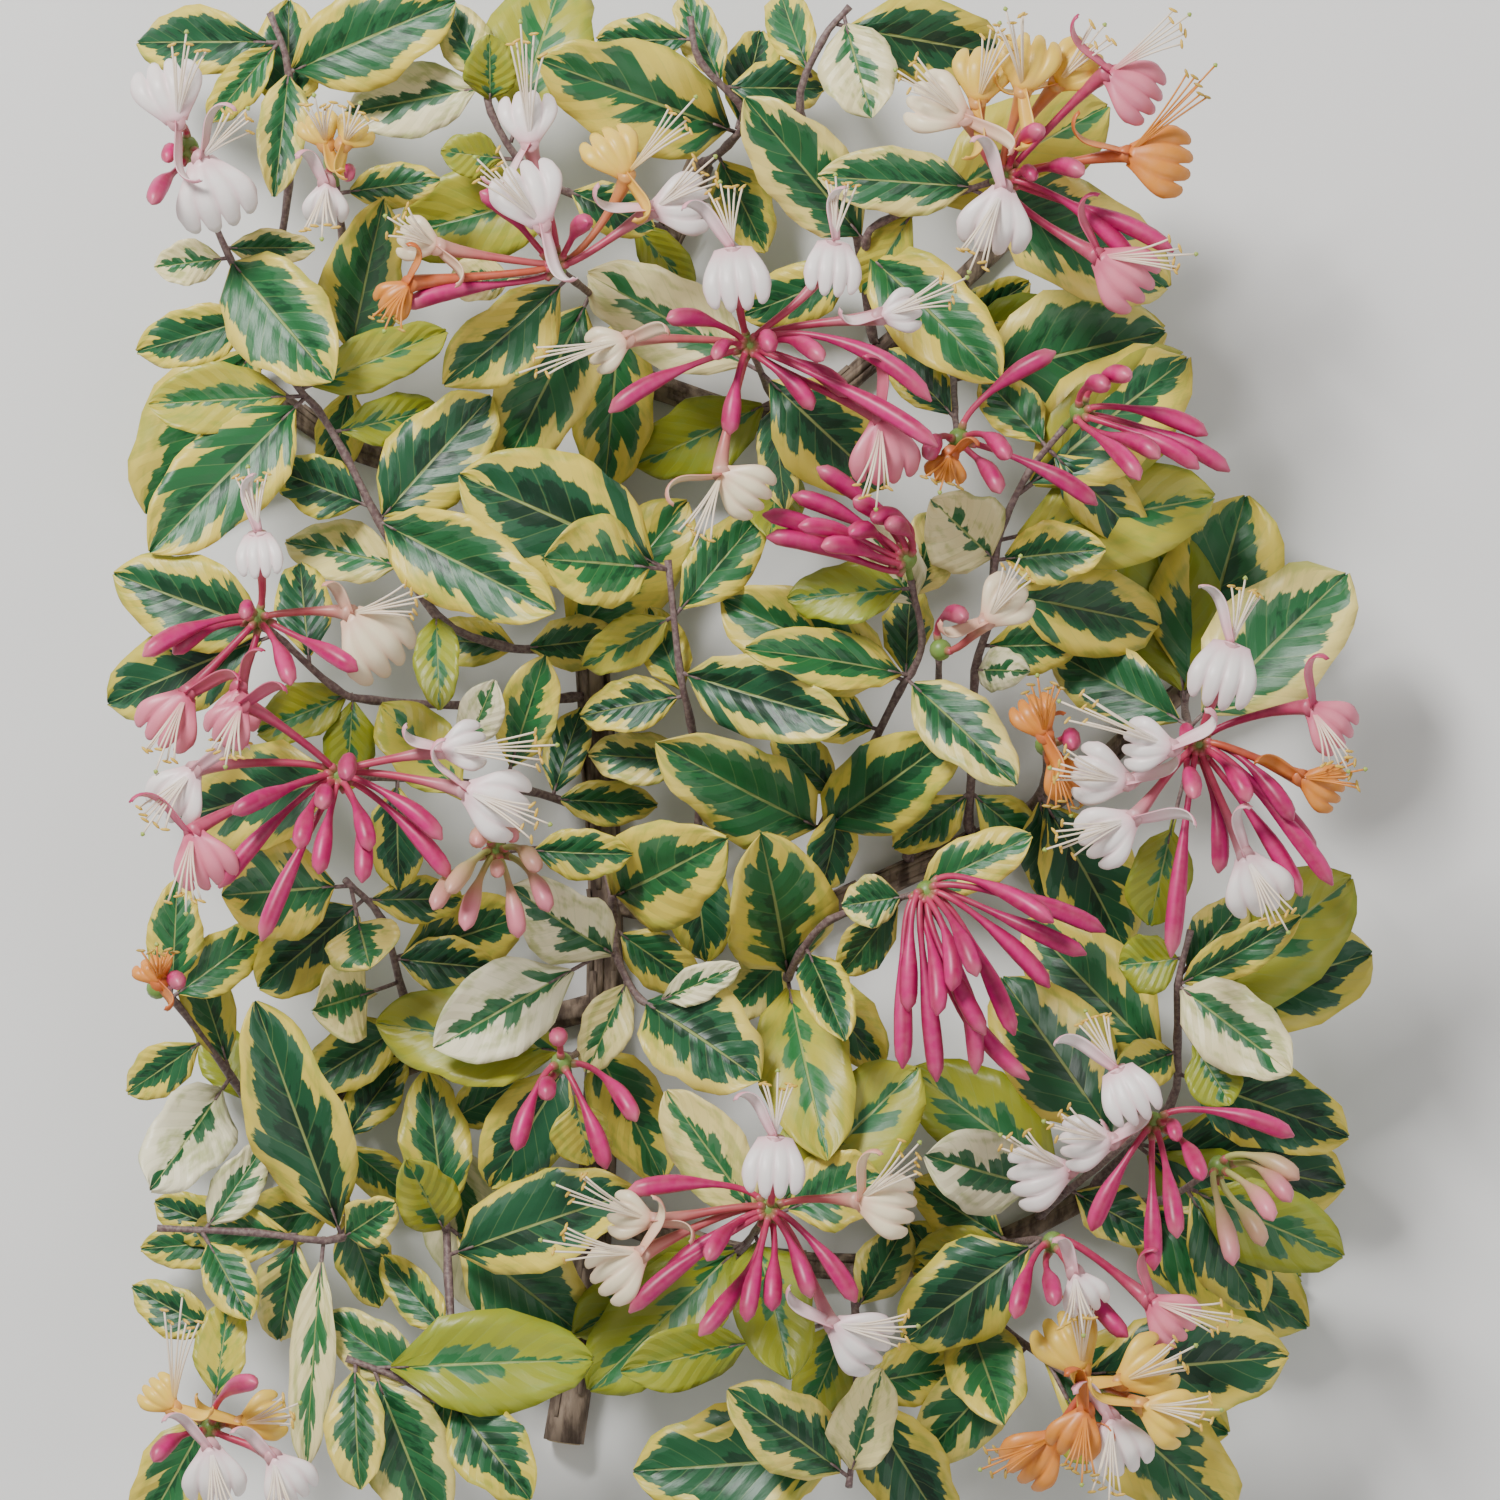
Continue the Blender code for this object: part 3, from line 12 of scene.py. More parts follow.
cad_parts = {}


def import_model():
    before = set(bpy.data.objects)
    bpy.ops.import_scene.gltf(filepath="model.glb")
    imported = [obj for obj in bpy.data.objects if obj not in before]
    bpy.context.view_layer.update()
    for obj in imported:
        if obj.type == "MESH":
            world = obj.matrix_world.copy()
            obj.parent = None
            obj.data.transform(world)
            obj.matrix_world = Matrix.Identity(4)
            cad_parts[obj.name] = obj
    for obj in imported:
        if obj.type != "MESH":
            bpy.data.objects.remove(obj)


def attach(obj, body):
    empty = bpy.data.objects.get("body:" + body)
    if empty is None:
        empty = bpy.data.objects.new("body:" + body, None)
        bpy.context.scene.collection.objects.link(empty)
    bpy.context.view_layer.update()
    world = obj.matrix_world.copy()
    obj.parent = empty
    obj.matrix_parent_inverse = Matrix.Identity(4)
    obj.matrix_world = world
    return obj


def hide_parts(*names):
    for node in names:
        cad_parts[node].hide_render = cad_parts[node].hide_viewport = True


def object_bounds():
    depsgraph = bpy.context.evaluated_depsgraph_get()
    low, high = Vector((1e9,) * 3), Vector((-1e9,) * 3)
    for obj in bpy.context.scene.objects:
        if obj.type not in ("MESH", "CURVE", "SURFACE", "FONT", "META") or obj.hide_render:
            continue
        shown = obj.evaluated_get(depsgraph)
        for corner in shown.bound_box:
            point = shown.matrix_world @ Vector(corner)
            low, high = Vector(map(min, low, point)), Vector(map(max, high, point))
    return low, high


# Driving dimensions, in metres
PIXEL = 0.00025
ORIGIN_PX = (596, 1125)
VIEW_PX = ((150, 1350), (0, 1500))
BARE_TRUNK_PX = ((572, 622), (605, 830))
MM = 0.001
GAP = 0.0003
CLEAR = 0.00045
FLOOR_CLEAR = 0.0006
BLADE_THICK = 0.0007
PETAL_THICK = 0.0006
PETIOLE_HALF = 0.0007
SHOOT_RADII = (0.0014, 0.0009)
PEDUNCLE_RADIUS = 0.0009
CORE_RADIUS = 0.0042
BUD_RADII = (0.0010, 0.0012, 0.0024)
TUBE_RADII = (0.0009, 0.0011, 0.0019)
STAMEN_RADIUS = 0.00045
FLAT = np.array([1.0, 1.0, 0.0])
BUD_LENGTHS = (0.026, 0.042)
WOODY_SIDES = 8
FILL_LEAVES = 45
INNER_LEAVES = 100
SEED = 11
HEAD_FREE = 0.011
ROOT_SPREAD = 0.55
ROOT_SINK = 0.0025
FOLDED = (-1.0, 0.0, 1.0)
LEVEL = (-1.0, 1.0)

# Barked vine: (radius at the start, radius at the end), then places across and down
WOODY = {
    "trunk": ((5.0, 3.6), [(560, 1455), (590, 1250), (602, 1000), (600, 830), (590, 650), (600, 480),
                           (640, 300), (700, 150)]),
    "left_low": ((3.6, 2.7), [(601, 1010), (480, 1040), (330, 1100), (235, 1190)]),
    "right_mid": ((3.8, 2.7), [(600, 900), (760, 930), (900, 880), (1060, 800), (1190, 690)]),
    "right_low": ((3.7, 2.7), [(593, 1220), (760, 1270), (950, 1270), (1110, 1200)]),
    "left_up": ((3.5, 2.6), [(596, 560), (470, 480), (340, 440), (240, 370)]),
    "right_up": ((3.5, 2.6), [(625, 370), (780, 410), (900, 330), (1010, 230)]),
}

# Shoots: the first place is on the barked vine, the others are (across, down, height in mm)
SHOOTS = {
    "far_left": [(590, 650), (540, 648, 20), (500, 645, 30), (435, 615, 42), (378, 520, 50), (345, 455, 53),
                 (318, 410, 55), (290, 375, 56), (230, 258, 56), (205, 200, 55)],
    "top_left": [(245, 375), (262, 300, 18), (285, 180, 34), (287, 70, 46), (268, 10, 46)],
    "v": [(340, 440), (345, 330, 24), (340, 230, 44), (336, 185, 53)],
    "c": [(640, 300), (605, 300, 30), (575, 282, 58), (564, 274, 66)],
    "top_mid": [(668, 230), (600, 200, 30), (530, 170, 42), (490, 110, 48), (485, 60, 48)],
    "top_right_mid": [(700, 150), (728, 138, 28), (745, 110, 44), (700, 60, 50), (690, 15, 50)],
    "b": [(780, 410), (768, 385, 34), (754, 358, 68)],
    "top_right": [(880, 345), (850, 200, 26), (800, 110, 46), (822, 40, 50), (850, 5, 50)],
    "a": [(900, 330), (872, 290, 30), (866, 242, 52), (882, 222, 56), (950, 197, 60), (990, 184, 63)],
    "i": [(940, 295), (955, 350, 26), (955, 405, 46), (957, 432, 56)],
    "j": [(975, 843), (975, 760, 24), (977, 670, 38), (990, 620, 46), (995, 560, 52), (1005, 520, 54),
          (1030, 470, 58), (1064, 428, 63)],
    "h": [(830, 905), (822, 830, 26), (860, 770, 40), (900, 690, 50), (912, 672, 52), (922, 640, 58),
          (910, 580, 65)],
    "l": [(790, 925), (788, 980, 30), (800, 955, 42), (830, 920, 52), (890, 900, 62), (912, 894, 69)],
    "k": [(1185, 695), (1190, 715, 30), (1194, 738, 65)],
    "u": [(1050, 805), (1048, 780, 30), (1046, 752, 52)],
    "t": [(930, 866), (945, 760, 20), (940, 690, 40), (939, 658, 53)],
    "right_side": [(1108, 1200), (1175, 1110, 24), (1180, 1040, 40), (1178, 985, 54), (1190, 930, 58)],
    "m": [(1060, 1222), (1100, 1170, 34), (1142, 1128, 61)],
    "p": [(1110, 1200), (1165, 1205, 30), (1210, 1172, 53)],
    "q": [(1000, 1250), (1035, 1243, 40), (1048, 1240, 56)],
    "s": [(950, 1270), (1000, 1330, 26), (1060, 1370, 46), (1082, 1383, 53)],
    "bottom_right": [(850, 1272), (858, 1350, 24), (856, 1430, 40), (849, 1488, 50)],
    "n": [(740, 1262), (755, 1235, 40), (766, 1208, 70)],
    "o": [(600, 1040), (580, 1052, 36), (565, 1060, 53)],
    "mid": [(690, 915), (700, 800, 24), (690, 720, 42), (680, 672, 50), (668, 560, 54)],
    "mid_lower": [(602, 870), (612, 905, 26), (616, 957, 40), (640, 1000, 48), (665, 1005, 50)],
    "f": [(598, 800), (520, 790, 26), (430, 780, 44), (365, 777, 66), (350, 776, 72)],
    "g": [(600, 850), (550, 850, 30), (505, 850, 56)],
    "e": [(592, 700), (480, 705, 24), (370, 700, 46), (335, 688, 54), (285, 642, 62), (270, 628, 66)],
    "left_mid": [(420, 1062), (400, 1000, 26), (380, 920, 44), (345, 880, 54)],
    "lower_left": [(330, 1100), (338, 1180, 26), (340, 1240, 42), (250, 1234, 46), (155, 1230, 46)],
    "lower_mid": [(420, 1062), (440, 1180, 22), (446, 1280, 36), (450, 1400, 46), (400, 1380, 48),
                  (345, 1360, 48)],
    "r": [(238, 1185), (225, 1290, 26), (216, 1390, 48), (213, 1418, 55)],
    "w": [(262, 1155), (225, 1080, 26), (175, 1005, 46), (163, 993, 51)],
}

# Flower heads: core, carrying shoot, open flowers as (age, throat, lip end, strap end, stamen end), bud ends
HEADS = {
    "a": ((1003, 180, 74), "a", [
        ("white", (1000, 196), (985, 262), (990, 135), None),
        ("yellow", (975, 108), (985, 52), None, None),
        ("cream", (962, 125), (907, 98), None, None),
        ("yellow", (1020, 98), (1030, 40), None, None),
        ("yellow", (1054, 90), (1096, 55), (1100, 95), None),
        ("pink", (1105, 80), (1157, 112), None, (1185, 28)),
        ("orange", (1125, 160), (1190, 172), None, (1210, 75)),
        ("pink", (1095, 262), (1147, 300), None, (1190, 262)),
    ], [(1035, 135), (1078, 175), (1030, 180), (1172, 250), (1137, 270)]),
    "b": ((750, 350, 82), "b", [
        ("white", (740, 316), (733, 256), (715, 195), None),
        ("white", (828, 300), (832, 248), (795, 200), None),
        ("white", (880, 322), (920, 312), None, (965, 290)),
        ("cream", (722, 478), (768, 508), None, (690, 550)),
        ("cream", (628, 345), (588, 362), (590, 420), (520, 375)),
        ("pink", (880, 425), (886, 490), None, None),
    ], [(770, 350), (822, 360), (850, 395), (715, 358), (930, 400), (937, 446), (608, 410), (670, 320),
        (728, 438), (815, 410)]),
    "c": ((558, 268, 76), "c", [
        ("white", (545, 232), (518, 170), (470, 200), None),
        ("white", (532, 150), (528, 96), None, (527, 33)),
        ("white", (655, 215), (713, 205), None, None),
        ("yellow", (628, 180), (600, 133), (632, 110), (700, 110)),
        ("cream", (440, 252), (400, 238), (452, 210), None),
        ("orange", (412, 290), (385, 318), None, None),
    ], [(405, 305), (487, 195), (590, 225)]),
    "d": ((190, 150, 63), "far_left", [
        ("white", (182, 128), (165, 65), None, None),
        ("white", (206, 165), (232, 235), (205, 75), (255, 118)),
    ], [(172, 160), (160, 205)]),
    "v": ((335, 165, 62), "v", [
        ("yellow", (330, 150), (316, 118), None, None),
        ("yellow", (348, 150), (368, 126), None, None),
        ("white", (330, 188), (328, 230), None, None),
    ], [(352, 178)]),
    "e": ((262, 620, 75), "e", [
        ("white", (268, 578), (264, 536), (268, 490), None),
        ("cream", (355, 615), (402, 672), (345, 585), (430, 600)),
        ("pink", (192, 695), (158, 745), None, None),
        ("pink", (245, 690), (240, 735), None, None),
    ], [(252, 612), (300, 680), (178, 648), (150, 650), (365, 665)]),
    "f": ((342, 775, 84), "f", [
        ("white", (200, 770), (168, 818), None, (150, 830)),
        ("white", (446, 750), (492, 742), (430, 665), (560, 750)),
        ("white", (470, 790), (532, 815), None, None),
        ("pink", (200, 832), (222, 888), None, None),
        ("pink", (250, 705), (226, 745), None, None),
    ], [(355, 770), (330, 800), (450, 832), (458, 872), (378, 845), (370, 878), (325, 870), (305, 843),
        (265, 937), (222, 882), (240, 805)]),
    "g": ((497, 850, 66), "g", [], [(541, 862), (553, 905), (437, 900), (453, 882), (468, 922), (522, 935),
                                    (500, 868), (480, 835), (516, 832)]),
    "h": ((905, 560, 73), "h", [], [(768, 532), (765, 510), (795, 492), (820, 466), (855, 498), (800, 522),
                                    (822, 542), (850, 530), (888, 522), (872, 515)]),
    "i": ((958, 440, 66), "i", [
        ("orange", (948, 458), (940, 486), None, None),
    ], [(1050, 350), (1098, 500), (998, 490), (1005, 455), (925, 455)]),
    "j": ((1078, 414, 72), "j", [], [(1205, 430), (1228, 467), (1197, 465), (1135, 478), (1155, 455),
                                     (1122, 375), (1100, 385)]),
    "t": ((940, 650, 62), "t", [
        ("cream", (985, 622), (1022, 584), None, None),
    ], [(960, 612)]),
    "k": ((1195, 745, 77), "k", [
        ("white", (1208, 704), (1225, 645), None, (1222, 555)),
        ("white", (1165, 748), (1115, 742), None, (1055, 700)),
        ("white", (1122, 782), (1066, 768), None, None),
        ("white", (1128, 818), (1078, 850), None, (1040, 845)),
        ("white", (1240, 855), (1264, 914), None, None),
        ("orange", (1296, 778), (1338, 795), None, None),
        ("pink", (1305, 708), (1345, 742), (1285, 650), None),
    ], [(1180, 735), (1185, 790), (1243, 795), (1290, 815), (1315, 850), (1330, 880), (1300, 892),
        (1215, 872), (1165, 955)]),
    "u": ((1045, 745, 62), "u", [
        ("orange", (1042, 735), (1022, 696), None, None),
        ("orange", (1052, 758), (1074, 796), None, None),
    ], [(1070, 740)]),
    "l": ((925, 890, 78), "l", [], [(1050, 912), (1103, 922), (1085, 945), (975, 968), (1050, 980),
                                    (905, 1008), (935, 1010),
                                    (900, 1065), (935, 1078), (985, 1030), (1015, 1030),
                                    (1030, 1075), (975, 1070), (950, 985)]),
    "m": ((1150, 1120, 72), "m", [
        ("white", (1135, 1112), (1112, 1064), None, None),
        ("white", (1108, 1138), (1056, 1142), None, None),
        ("white", (1066, 1168), (1006, 1182), None, (1000, 1130)),
    ], [(1172, 1128), (1195, 1165), (1150, 1266), (1172, 1228), (1085, 1225), (1290, 1125)]),
    "p": ((1218, 1165, 62), "p", [], [(1295, 1168), (1287, 1190), (1268, 1208), (1262, 1238), (1228, 1255)]),
    "q": ((1052, 1240, 66), "q", [
        ("pink", (1148, 1298), (1190, 1332), None, (1235, 1318)),
        ("white", (1072, 1268), (1090, 1308), None, None),
    ], [(1010, 1308), (1128, 1328), (1050, 1290)]),
    "n": ((768, 1205, 82), "n", [
        ("white", (772, 1186), (775, 1130), None, None),
        ("cream", (858, 1195), (916, 1205), (850, 1145), (920, 1140)),
        ("cream", (652, 1215), (608, 1205), None, (560, 1172)),
        ("cream", (642, 1248), (595, 1282), None, (545, 1230)),
        ("white", (832, 1318), (886, 1350), None, (915, 1320)),
    ], [(630, 1178), (627, 1300), (660, 1272), (707, 1243), (697, 1323), (745, 1310), (772, 1300),
        (812, 1285), (858, 1290)]),
    "o": ((562, 1062, 62), "o", [], [(548, 1088), (640, 1112), (610, 1165), (515, 1145), (560, 1030)]),
    "r": ((212, 1425, 64), "r", [
        ("white", (216, 1440), (222, 1498), None, None),
        ("white", (278, 1452), (306, 1496), None, None),
        ("yellow", (178, 1402), (150, 1376), None, (190, 1290)),
        ("yellow", (245, 1420), (290, 1406), None, None),
    ], [(160, 1445), (262, 1368)]),
    "s": ((1092, 1385, 62), "s", [
        ("yellow", (1080, 1366), (1050, 1310), None, None),
        ("yellow", (1118, 1376), (1172, 1348), None, None),
        ("white", (1108, 1412), (1125, 1470), None, None),
        ("orange", (1052, 1432), (1010, 1474), None, None),
        ("orange", (1082, 1404), (1062, 1452), None, None),
        ("yellow", (1138, 1398), (1190, 1420), None, None),
    ], []),
    "w": ((158, 988, 58), "w", [
        ("orange", (164, 980), (152, 955), None, None),
    ], [(185, 975)]),
}

# Leaves: shoot, base, tip, width, height of the tip in mm, colouring
LEAVES = [
    ("top_right_mid", (735, 130), (537, 60), 105, 60, "green"),
    ("top_right", (850, 5), (872, 118), 75, 56, "cream"),
    ("a", (862, 240), (745, 100), 85, 64, "green"),
    ("a", (975, 190), (818, 178), 66, 62, "green"),
    ("a", (870, 250), (1000, 382), 90, 60, "green"),
    ("top_left", (287, 70), (275, 198), 50, 60, "green"),
    ("top_left", (287, 70), (455, 0), 95, 52, "green"),
    ("top_left", (300, 75), (455, 78), 40, 58, "green"),
    ("v", (345, 352), (385, 200), 80, 60, "green"),
    ("v", (350, 190), (440, 180), 44, 56, "green"),
    ("far_left", (232, 257), (335, 383), 100, 68, "green"),
    ("far_left", (228, 250), (315, 248), 36, 62, "green"),
    ("far_left", (222, 256), (155, 268), 44, 58, "cream"),
    ("top_mid", (485, 100), (490, 35), 50, 58, "yellow"),
    ("top_mid", (500, 165), (440, 150), 44, 50, "yellow"),
    ("c", (520, 300), (450, 285), 44, 64, "cream"),
    ("far_left", (300, 395), (445, 330), 56, 48, "yellow"),
    ("far_left", (290, 405), (150, 405), 70, 60, "yellow"),
    ("far_left", (300, 405), (152, 553), 95, 64, "green"),
    ("far_left", (365, 515), (275, 470), 60, 50, "dark"),
    ("far_left", (378, 520), (556, 612), 90, 66, "green"),
    ("far_left", (378, 520), (490, 395), 90, 46, "dark"),
    ("mid", (660, 560), (460, 475), 125, 60, "dark"),
    ("mid", (665, 545), (545, 560), 90, 70, "green"),
    ("mid", (640, 570), (660, 640), 40, 64, "green"),
    ("mid", (682, 675), (848, 722), 80, 66, "dark"),
    ("h", (905, 672), (745, 650), 60, 70, "green"),
    ("h", (912, 680), (1015, 785), 70, 66, "green"),
    ("h", (825, 828), (960, 730), 90, 56, "green"),
    ("h", (822, 827), (656, 742), 95, 58, "green"),
    ("mid_lower", (607, 898), (728, 838), 105, 62, "green"),
    ("mid_lower", (612, 957), (510, 885), 80, 60, "white"),
    ("mid_lower", (558, 948), (434, 1048), 90, 56, "white"),
    ("mid_lower", (638, 997), (760, 1080), 100, 58, "dark"),
    ("mid_lower", (665, 1005), (740, 965), 36, 62, "cream"),
    ("l", (787, 985), (760, 832), 110, 66, "green"),
    ("l", (790, 990), (828, 1160), 95, 60, "yellow"),
    ("l", (815, 950), (845, 1040), 50, 66, "dark"),
    ("l", (905, 880), (1030, 835), 56, 70, "green"),
    ("left_mid", (335, 882), (223, 895), 100, 62, "green"),
    ("left_mid", (370, 850), (372, 968), 75, 66, "green"),
    ("left_mid", (430, 975), (312, 1010), 80, 56, "cream"),
    ("lower_left", (338, 1235), (257, 1000), 95, 64, "dark"),
    ("w", (235, 1065), (182, 930), 50, 50, "green"),
    ("w", (235, 1065), (150, 1190), 80, 56, "white"),
    ("lower_left", (345, 1238), (395, 1203), 50, 52, "green"),
    ("lower_left", (330, 1260), (195, 1335), 66, 52, "dark"),
    ("lower_left", (205, 1215), (250, 1320), 50, 56, "green"),
    ("lower_left", (325, 1260), (305, 1470), 46, 46, "cream"),
    ("lower_mid", (347, 1367), (360, 1490), 60, 52, "green"),
    ("lower_mid", (452, 1403), (530, 1500), 75, 54, "dark"),
    ("lower_mid", (447, 1268), (640, 1190), 95, 56, "dark"),
    ("lower_mid", (440, 1250), (405, 1160), 60, 50, "yellow"),
    ("n", (765, 1240), (790, 1378), 80, 62, "yellow"),
    ("n", (790, 1230), (880, 1175), 80, 56, "green"),
    ("bottom_right", (848, 1490), (728, 1388), 80, 60, "green"),
    ("bottom_right", (850, 1488), (882, 1367), 62, 62, "cream"),
    ("bottom_right", (870, 1480), (955, 1388), 66, 58, "green"),
    ("bottom_right", (700, 1330), (620, 1375), 60, 40, "yellow"),
    ("o", (570, 1100), (590, 1165), 60, 50, "yellow"),
    ("m", (1040, 1165), (925, 1155), 85, 54, "cream"),
    ("s", (930, 1325), (1005, 1425), 75, 54, "green"),
    ("s", (1005, 1420), (1100, 1465), 60, 48, "yellow"),
    ("right_side", (1180, 1050), (1110, 1080), 50, 50, "green"),
    ("right_side", (1215, 1020), (1232, 1105), 56, 52, "yellow"),
    ("right_side", (1180, 985), (1290, 1072), 80, 62, "cream"),
    ("right_side", (1175, 985), (1298, 915), 46, 66, "green"),
    ("right_side", (1190, 975), (1245, 900), 56, 60, "green"),
    ("right_side", (1180, 960), (1120, 965), 60, 52, "yellow"),
    ("j", (1000, 560), (930, 500), 85, 64, "cream"),
    ("j", (1005, 560), (1105, 550), 60, 62, "green"),
    ("j", (978, 665), (1030, 672), 44, 56, "cream"),
    ("k", (1080, 900), (1150, 925), 60, 54, "yellow"),
    ("far_left", (435, 615), (440, 710), 46, 52, "yellow"),
    ("f", (450, 740), (495, 680), 44, 56, "cream"),
    ("f", (510, 760), (545, 655), 60, 52, "green"),
    ("g", (460, 800), (380, 705), 70, 50, "yellow"),
    ("b", (770, 400), (785, 512), 44, 60, "dark"),
    ("b", (735, 455), (770, 540), 60, 52, "yellow"),
    ("h", (905, 590), (788, 600), 60, 60, "yellow"),
    ("h", (912, 610), (870, 525), 66, 66, "cream"),
    ("h", (915, 600), (935, 512), 60, 62, "cream"),
    ("l", (912, 896), (842, 905), 50, 66, "green"),
    ("l", (915, 885), (880, 850), 44, 72, "cream"),
]


def at(across, down, height_mm):
    """Place a point of the photograph on the surface the vine lies on."""
    return np.array([(across - ORIGIN_PX[0]) * PIXEL, (ORIGIN_PX[1] - down) * PIXEL, height_mm * MM])


def unit(vector):
    length = float(np.linalg.norm(vector))
    return vector / length if length > 1e-12 else np.array([0.0, 0.0, 1.0])


def turn(vector, axis, angle):
    """Turn a vector round a unit axis."""
    cosine = math.cos(angle)
    sine = math.sin(angle)
    along = axis * float(np.dot(axis, vector)) * (1.0 - cosine)
    return vector * cosine + np.cross(axis, vector) * sine + along


def bezier(points, t):
    """Point on a curve of two to four control points."""
    points = [np.asarray(point, float) for point in points]
    while len(points) > 1:
        points = [a * (1.0 - t) + b * t for a, b in zip(points, points[1:])]
    return points[0]


def smooth_path(points, steps):
    """Catmull curve through the points, with a number of steps in each span."""
    points = [np.asarray(point, float) for point in points]
    ends = [points[0] * 2 - points[1]] + points + [points[-1] * 2 - points[-2]]
    path = []
    for k in range(1, len(ends) - 2):
        p0, p1, p2, p3 = ends[k - 1:k + 3]
        for step in range(steps):
            t = step / steps
            path.append(0.5 * (2 * p1 + (p2 - p0) * t + (2 * p0 - 5 * p1 + 4 * p2 - p3) * t * t
                               + (3 * p1 - p0 - 3 * p2 + p3) * t ** 3))
    path.append(points[-1])
    return path


def loft(rings, start_cap=True, end_cap=True):
    """Closed mesh through rings of points; a ring of one point makes a tip."""
    verts = []
    starts = []
    for ring in rings:
        starts.append(len(verts))
        verts.extend(ring)
    faces = []
    for (ring, first), (following, second) in zip(zip(rings, starts), zip(rings[1:], starts[1:])):
        count = len(ring)
        if len(following) == 1:
            faces.extend([(first + i, first + (i + 1) % count, second) for i in range(count)])
        else:
            for i in range(count):
                a, b = first + i, first + (i + 1) % count
                c, d = second + (i + 1) % count, second + i
                faces.extend([(a, b, c), (a, c, d)])
    if start_cap:
        faces.extend([(0, i + 1, i) for i in range(1, len(rings[0]) - 1)])
    if end_cap and len(rings[-1]) > 2:
        first = starts[-1]
        faces.extend([(first, first + i, first + i + 1) for i in range(1, len(rings[-1]) - 1)])
    return np.array(verts), faces


def tube(path, radii, sides, up=(0.0, 0.0, 1.0), squash=1.0, tip=False):
    """Closed round piece along a path; every section keeps the same side up."""
    path = [np.asarray(point, float) for point in path]
    rings = []
    side = None
    for k, point in enumerate(path):
        ahead = unit(path[min(k + 1, len(path) - 1)] - path[max(k - 1, 0)])
        if side is None:
            side = np.cross(np.asarray(up, float), ahead)
            if np.linalg.norm(side) < 0.2:
                side = np.cross(np.array([0.0, 1.0, 0.0]), ahead)
        side = unit(side - ahead * float(np.dot(side, ahead)))
        over = np.cross(ahead, side)
        ring = []
        for i in range(sides):
            angle = 2 * math.pi * (i + 0.5) / sides
            ring.append(point + (side * math.cos(angle) + over * (math.sin(angle) * squash)) * radii[k])
        rings.append(ring)
    if tip:
        rings[-1] = [path[-1]]
    return loft(rings)


SHEETS = {}


def sheet_faces(counts, holes=()):
    """Faces of a closed sheet of rows with the given counts; the upper face's points come first.

    A row pair named in holes is left open on both faces, for a stalk to join there.
    """
    key = (tuple(counts), tuple(holes))
    if key in SHEETS:
        return SHEETS[key]
    starts = [sum(counts[:k]) for k in range(len(counts))]
    total = sum(counts)
    top, rim = [], []
    for k, (near, far) in enumerate(zip(counts, counts[1:])):
        first, second = starts[k], starts[k + 1]
        i = j = 0
        while i < near - 1 or j < far - 1:
            if i < near - 1 and (j == far - 1 or (i + 1) * (far - 1) <= (j + 1) * (near - 1)):
                face = (first + i, first + i + 1, second + j)
                i += 1
            else:
                face = (first + i, second + j + 1, second + j)
                j += 1
            top.append((face, k in holes))
    edges = {}
    for face, _ in top:
        for pair in ((face[0], face[1]), (face[1], face[2]), (face[2], face[0])):
            edges[pair] = True
    for a, b in edges:
        if (b, a) not in edges:
            rim.extend([(b, a, a + total), (b, a + total, b + total)])
    faces = [face for face, hole in top if not hole]
    faces = faces + [(a + total, c + total, b + total) for a, b, c in faces] + rim
    SHEETS[key] = faces
    return faces


def rows_unit(vectors):
    return vectors / np.maximum(np.linalg.norm(vectors, axis=1, keepdims=True), 1e-9)


def leaf_points(leaf, u, v):
    """Points and normals of a blade; u runs from base to tip and v from edge to edge."""
    u = np.asarray(u, float)
    v = np.asarray(v, float)
    base, bend, tip = leaf["base"], leaf["bend"], leaf["tip"]
    one = u[:, None]
    spine = (1 - one) ** 2 * base + 2 * one * (1 - one) * bend + one ** 2 * tip
    ahead = rows_unit((1 - one) * (bend - base) + one * (tip - bend))
    side = rows_unit(leaf["side"] - ahead * (ahead @ leaf["side"])[:, None])
    normal = np.cross(side, ahead)
    t = np.clip((u - leaf["petiole"]) / (1.0 - leaf["petiole"]), 0.0, 1.0)
    half = np.maximum(leaf["half"] * np.clip(np.sin(np.pi * t ** 0.85), 0.0, 1.0) ** 0.66, PETIOLE_HALF)
    wave = leaf["wave"] * half * np.sin(6.5 * u + leaf["phase"] + np.where(v > 0, 1.3, 0.0)) * v * v
    lift = leaf["fold"] * np.abs(v) * half + wave
    return spine + side * (v * half)[:, None] + normal * lift[:, None], normal


def leaf_mesh(leaf):
    """Coarse closed leaf: a narrow stalk end, sections across the blade, and a tip."""
    inner = leaf["stations"]
    across = leaf["across"]
    u = [0.0] + [value for value in inner for _ in across] + [1.0]
    v = [0.0] + list(across) * len(inner) + [0.0]
    points, normals = leaf_points(leaf, u, v)
    verts = np.vstack([points + normals * BLADE_THICK / 2, points - normals * BLADE_THICK / 2])
    return verts, sheet_faces([1] + [len(across)] * len(inner) + [1])


